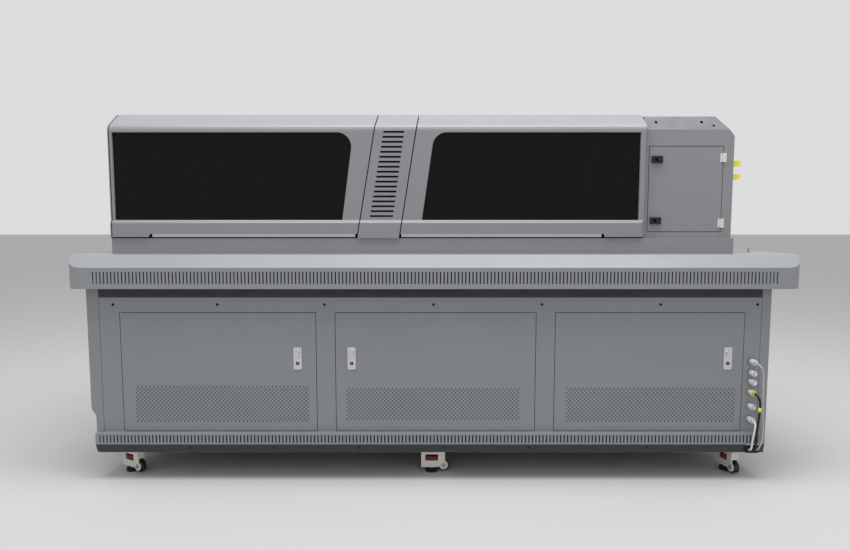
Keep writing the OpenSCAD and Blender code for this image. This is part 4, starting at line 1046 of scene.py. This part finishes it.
@dataclass
class PrintGear(Builder):
    """Bed, rails, gantry and carriage inside the hood."""

    rail_tops: Zone = band(0.9571, 1.0, STEEL)
    beam_tracks: Zone = Zone((-2, 0.2, 1.06), (2, 0.2199, 1.18), STEEL)
    carriage_back: Zone = Zone((0.8, 0.1981, 1.0), (1.1, 0.3, 1.3), FRAME_COAT)
    guide_rods: Zone = Zone((0.92, 0.16, 0.98), (1.05, 0.184, 1.2874), STEEL)
    head_noses: Zone = Zone((0.8, 0.0, 0.97), (1.2, 0.2, 1.0249), BLACK)
    tank_caps: Zone = Zone((1.1, -1, 1.3001), (1.3, 1, 1.4), BLACK)
    bed_columns: int = 77
    bed_rows: int = 19
    hole_pitch: Span = (0.025, 0.025)
    hole_radius: float = 1.2 * MM
    hole_disc: float = 0.4 * MM
    hole_sides: int = 6

    def build(self) -> None:
        """Dresses the gear and adds the bed's holes."""
        self.dress("vacuum_bed", BED)
        self.dress("y_rails", FRAME_COAT, self.rail_tops)
        self.dress("gantry_beam", CONTROL, self.beam_tracks)
        self.dress("carriage", SHELL, self.carriage_back, self.guide_rods)
        self.dress("head_unit", CONTROL, self.head_noses)
        self.dress("cap_tray", BLACK)
        self.dress("capping_base", CONTROL)
        self.dress("ink_tanks", TANK, self.tank_caps)
        holes = Pattern(self.bed_columns, self.bed_rows, self.hole_pitch, 0.0, self.hole_radius,
                        self.hole_disc, self.hole_sides, flat=True)
        bed = middle("vacuum_bed")
        bed_top = corners("vacuum_bed")[1].z
        holes.lay("bed_vacuum_holes", (bed.x, bed.y, bed_top), HOLE, "machine")


@dataclass
class Connectors(Builder):
    """Sockets, plugs and leads at the cabinet's right end."""

    x: float = 1.279
    socket_z: tuple[float, ...] = (0.488, 0.443, 0.406, 0.364, 0.306, 0.252)
    flanges: Zone = Zone((1.26, -0.5072, 0.2), (1.30, -0.50, 0.52), SOCKET)
    yellow_plug: Zone = Zone((1.26, -0.549, 0.350), (1.30, -0.5071, 0.378), YELLOW)
    lead_block: Zone = Zone((1.25, -0.54, 0.1), (1.32, -0.50, 0.15), RUBBER)
    plug_y: float = -0.519
    near_grip: Profile = ((0.3, 10.8), (1.2, 11.6), (9.5, 11.6), (10.4, 10.8))
    far_grip: Profile = ((11.2, 10.8), (12.0, 11.6), (20.8, 11.6), (21.8, 10.8))
    grip_sides: int = 48
    grip_groove: float = 0.4
    gland_y: float = -0.541
    gland_nut: Profile = ((0.1, 8.2), (1.0, 8.6), (4.2, 8.6), (5.2, 7.4))
    gland_sides: int = 24
    gland_groove: float = 0.5
    flange_y: float = -0.507
    socket_nut: Profile = ((0.1, 9.6), (0.6, 10.4), (2.6, 10.4), (3.2, 9.6))
    socket_sides: int = 36
    screw_offset: float = 9 * MM
    screw_head: Profile = ((-0.2, 1.9), (0.4, 1.8), (0.8, 1.1))
    screw_sides: int = 16
    tag_place: Point = (1.2894, -0.5692, 0.306)
    tag_slope: Point = (-0.1, 0.15, -1.0)
    tag: Profile = ((-9, 4.6), (-8.5, 5.6), (8.5, 5.6), (9, 4.6))
    tag_sides: int = 24

    def leads(self) -> None:
        """Makes the three leads, by routes in millimetres."""
        grey = [
            (1279, -548, 488), (1281, -559, 486), (1286, -567, 480), (1292, -570, 469), (1297, -569, 453),
            (1301, -565, 430), (1304, -560, 402), (1307, -557, 368), (1309, -554, 330), (1312, -552, 290),
            (1315, -551, 250), (1317, -550, 213), (1316, -550, 184), (1311, -551, 164), (1306, -551, 150),
            (1302, -548, 139), (1302, -541, 132), (1302, -533, 130),
        ]
        black = [
            (1279, -548, 364), (1281, -560, 361), (1284, -570, 352), (1287, -573, 339), (1289, -572, 323),
            (1290, -569, 306), (1291, -566, 288), (1291, -563, 268), (1291, -560, 248), (1291, -557, 228),
            (1290, -555, 208), (1290, -553, 190), (1289, -553, 174), (1289, -553, 160), (1288, -552, 149),
            (1288, -548, 138), (1288, -541, 131.5), (1288, -533, 130),
        ]
        white = [
            (1279, -548, 252), (1278, -557, 250.5), (1278, -562, 246), (1277, -565, 239), (1276, -566, 230),
            (1275, -565, 217), (1274, -563, 204), (1274, -560, 191), (1274, -557, 178), (1274, -554, 166),
            (1274, -552, 155), (1274, -551, 146), (1274, -547, 137.5), (1274, -541, 132), (1274, -533, 130),
        ]
        Lead("grey_lead_sheath", "grey_lead", grey, 7 * MM, GREY_SHEATH).build()
        sleeve = Shape().turned(self.tag_place, self.tag_slope, self.tag, self.tag_sides)
        tag = self.piece("black_lead_tag", sleeve, YELLOW, "machine", smooth=True)
        Lead("black_lead_sheath", "black_lead", black, 9 * MM, BLACK_SHEATH).build(tag)
        Lead("white_lead_sheath", "white_lead", white, 7 * MM, WHITE_SHEATH).build()

    def build(self) -> None:
        """Dresses the sockets and adds the plugs' grips and nuts and the sockets' screws."""
        self.dress("cable_sockets", NICKEL, self.flanges, self.yellow_plug, self.lead_block)
        places = [(0.0, 0.0, z) for z in self.socket_z]
        grips = Shape()
        for grip in (self.near_grip, self.far_grip):
            grips.turned((self.x, self.plug_y, 0.0), FRONT, grip, self.grip_sides, self.grip_groove)
        self.copies("plug_grips", grips, places, NICKEL, "machine")
        nuts = Shape()
        nuts.turned((self.x, self.gland_y, 0.0), FRONT, self.gland_nut, self.gland_sides, self.gland_groove)
        nuts.turned((self.x, self.flange_y, 0.0), FRONT, self.socket_nut, self.socket_sides)
        self.copies("plug_nuts", nuts, places, ZINC, "machine")
        screws = Shape()
        for across in (-self.screw_offset, self.screw_offset):
            for up in (-self.screw_offset, self.screw_offset):
                screws.turned((self.x + across, self.flange_y, up), FRONT, self.screw_head, self.screw_sides)
        self.copies("socket_screws", screws, places, STEEL, "machine", smooth=True)


@dataclass
class Casters(Builder):
    """The six levelling casters."""

    places: tuple[str, ...] = (
        "front_left", "front_middle", "front_right", "rear_left", "rear_middle", "rear_right",
    )
    housing_edge: float = 1.2 * MM
    wheel_edge: float = 2.0 * MM
    stem: Zone = band(0.0111, 0.0539, ZINC)
    thumbwheel: Zone = band(0.0539, 0.075, THUMB_RED)
    housing_half: float = 17.0
    bolt_sink: float = 0.2
    bolt: Profile = ((0.0, 9.0), (0.9, 8.6), (1.0, 6.2), (4.2, 6.2), (4.9, 5.2))
    thumb_height: float = 0.014
    thumb_grip: Profile = ((0.6, 22.4), (1.6, 24.2), (12.4, 24.2), (13.4, 22.4))
    thumb_sides: int = 96
    thumb_groove: float = 0.9
    thread_turns: int = 14
    thread_drop: float = 0.043
    thread_pitch: float = 0.003
    thread: Profile = ((0.0, 5.9), (0.9, 6.25), (1.1, 6.25), (2.0, 5.9))
    round_sides: int = 24

    def build(self) -> None:
        """Dresses housings, wheels and feet, and adds their bolts, grips and threads."""
        for place in self.places:
            self.dress(place + "_caster", IVORY)
            self.soften(place + "_caster", self.housing_edge)
            self.dress(place + "_wheel", NYLON)
            self.soften(place + "_wheel", self.wheel_edge)
            self.dress(place + "_foot", RUBBER, self.stem, self.thumbwheel)
            hub = middle(place + "_wheel")
            foot = middle(place + "_foot")
            foot.z = corners(place + "_foot")[1].z - self.thumb_height
            self.axle_bolts(place, hub, hub - foot)
            self.foot_details(place, foot)

    def axle_bolts(self, place: str, hub: Vector, ahead: Vector) -> None:
        """Adds the bolt heads at both ends of a wheel's axle.

        Args:
            place: which caster they are on.
            hub: the wheel's centre, in metres.
            ahead: a direction from the foot towards the wheel.
        """
        side = Vector((-ahead.y, ahead.x, 0.0)).normalized()
        reach = (self.housing_half - self.bolt_sink) * MM
        bolts = Shape()
        for out in (-side, side):
            bolts.turned(hub + out * reach, out, self.bolt, self.round_sides)
        self.piece(place + "_axle_bolts", bolts, ZINC, place + "_caster")

    def foot_details(self, place: str, foot: Vector) -> None:
        """Adds a foot's ribbed thumbwheel rim and its thread.

        Args:
            place: which caster the foot is on.
            foot: the middle of the thumbwheel's underside, in metres.
        """
        rim = Shape().turned(foot, UP, self.thumb_grip, self.thumb_sides, self.thumb_groove)
        self.piece(place + "_thumb_grip", rim, THUMB_RED, place + "_foot")
        crest = Shape().turned((0.0, 0.0, 0.0), UP, self.thread, self.round_sides)
        drops = [self.thread_drop - self.thread_pitch * turn for turn in range(self.thread_turns)]
        crests = [foot - Vector((0.0, 0.0, drop)) for drop in drops]
        self.copies(place + "_foot_thread", crest, crests, STEEL, place + "_foot", smooth=True)


def main() -> None:
    """Builds everything in order and logs each part as it is dressed."""
    logging.basicConfig(level=logging.INFO, format="%(name)s: %(message)s")
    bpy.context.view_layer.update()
    Studio().build()
    connectors = Connectors()
    connectors.leads()
    for part in (Cabinet(), Doors(), Hood(), PrintGear(), connectors, Casters()):
        part.build()
        LOG.info("%s dressed", type(part).__name__)


if __name__ == "__main__":
    main()
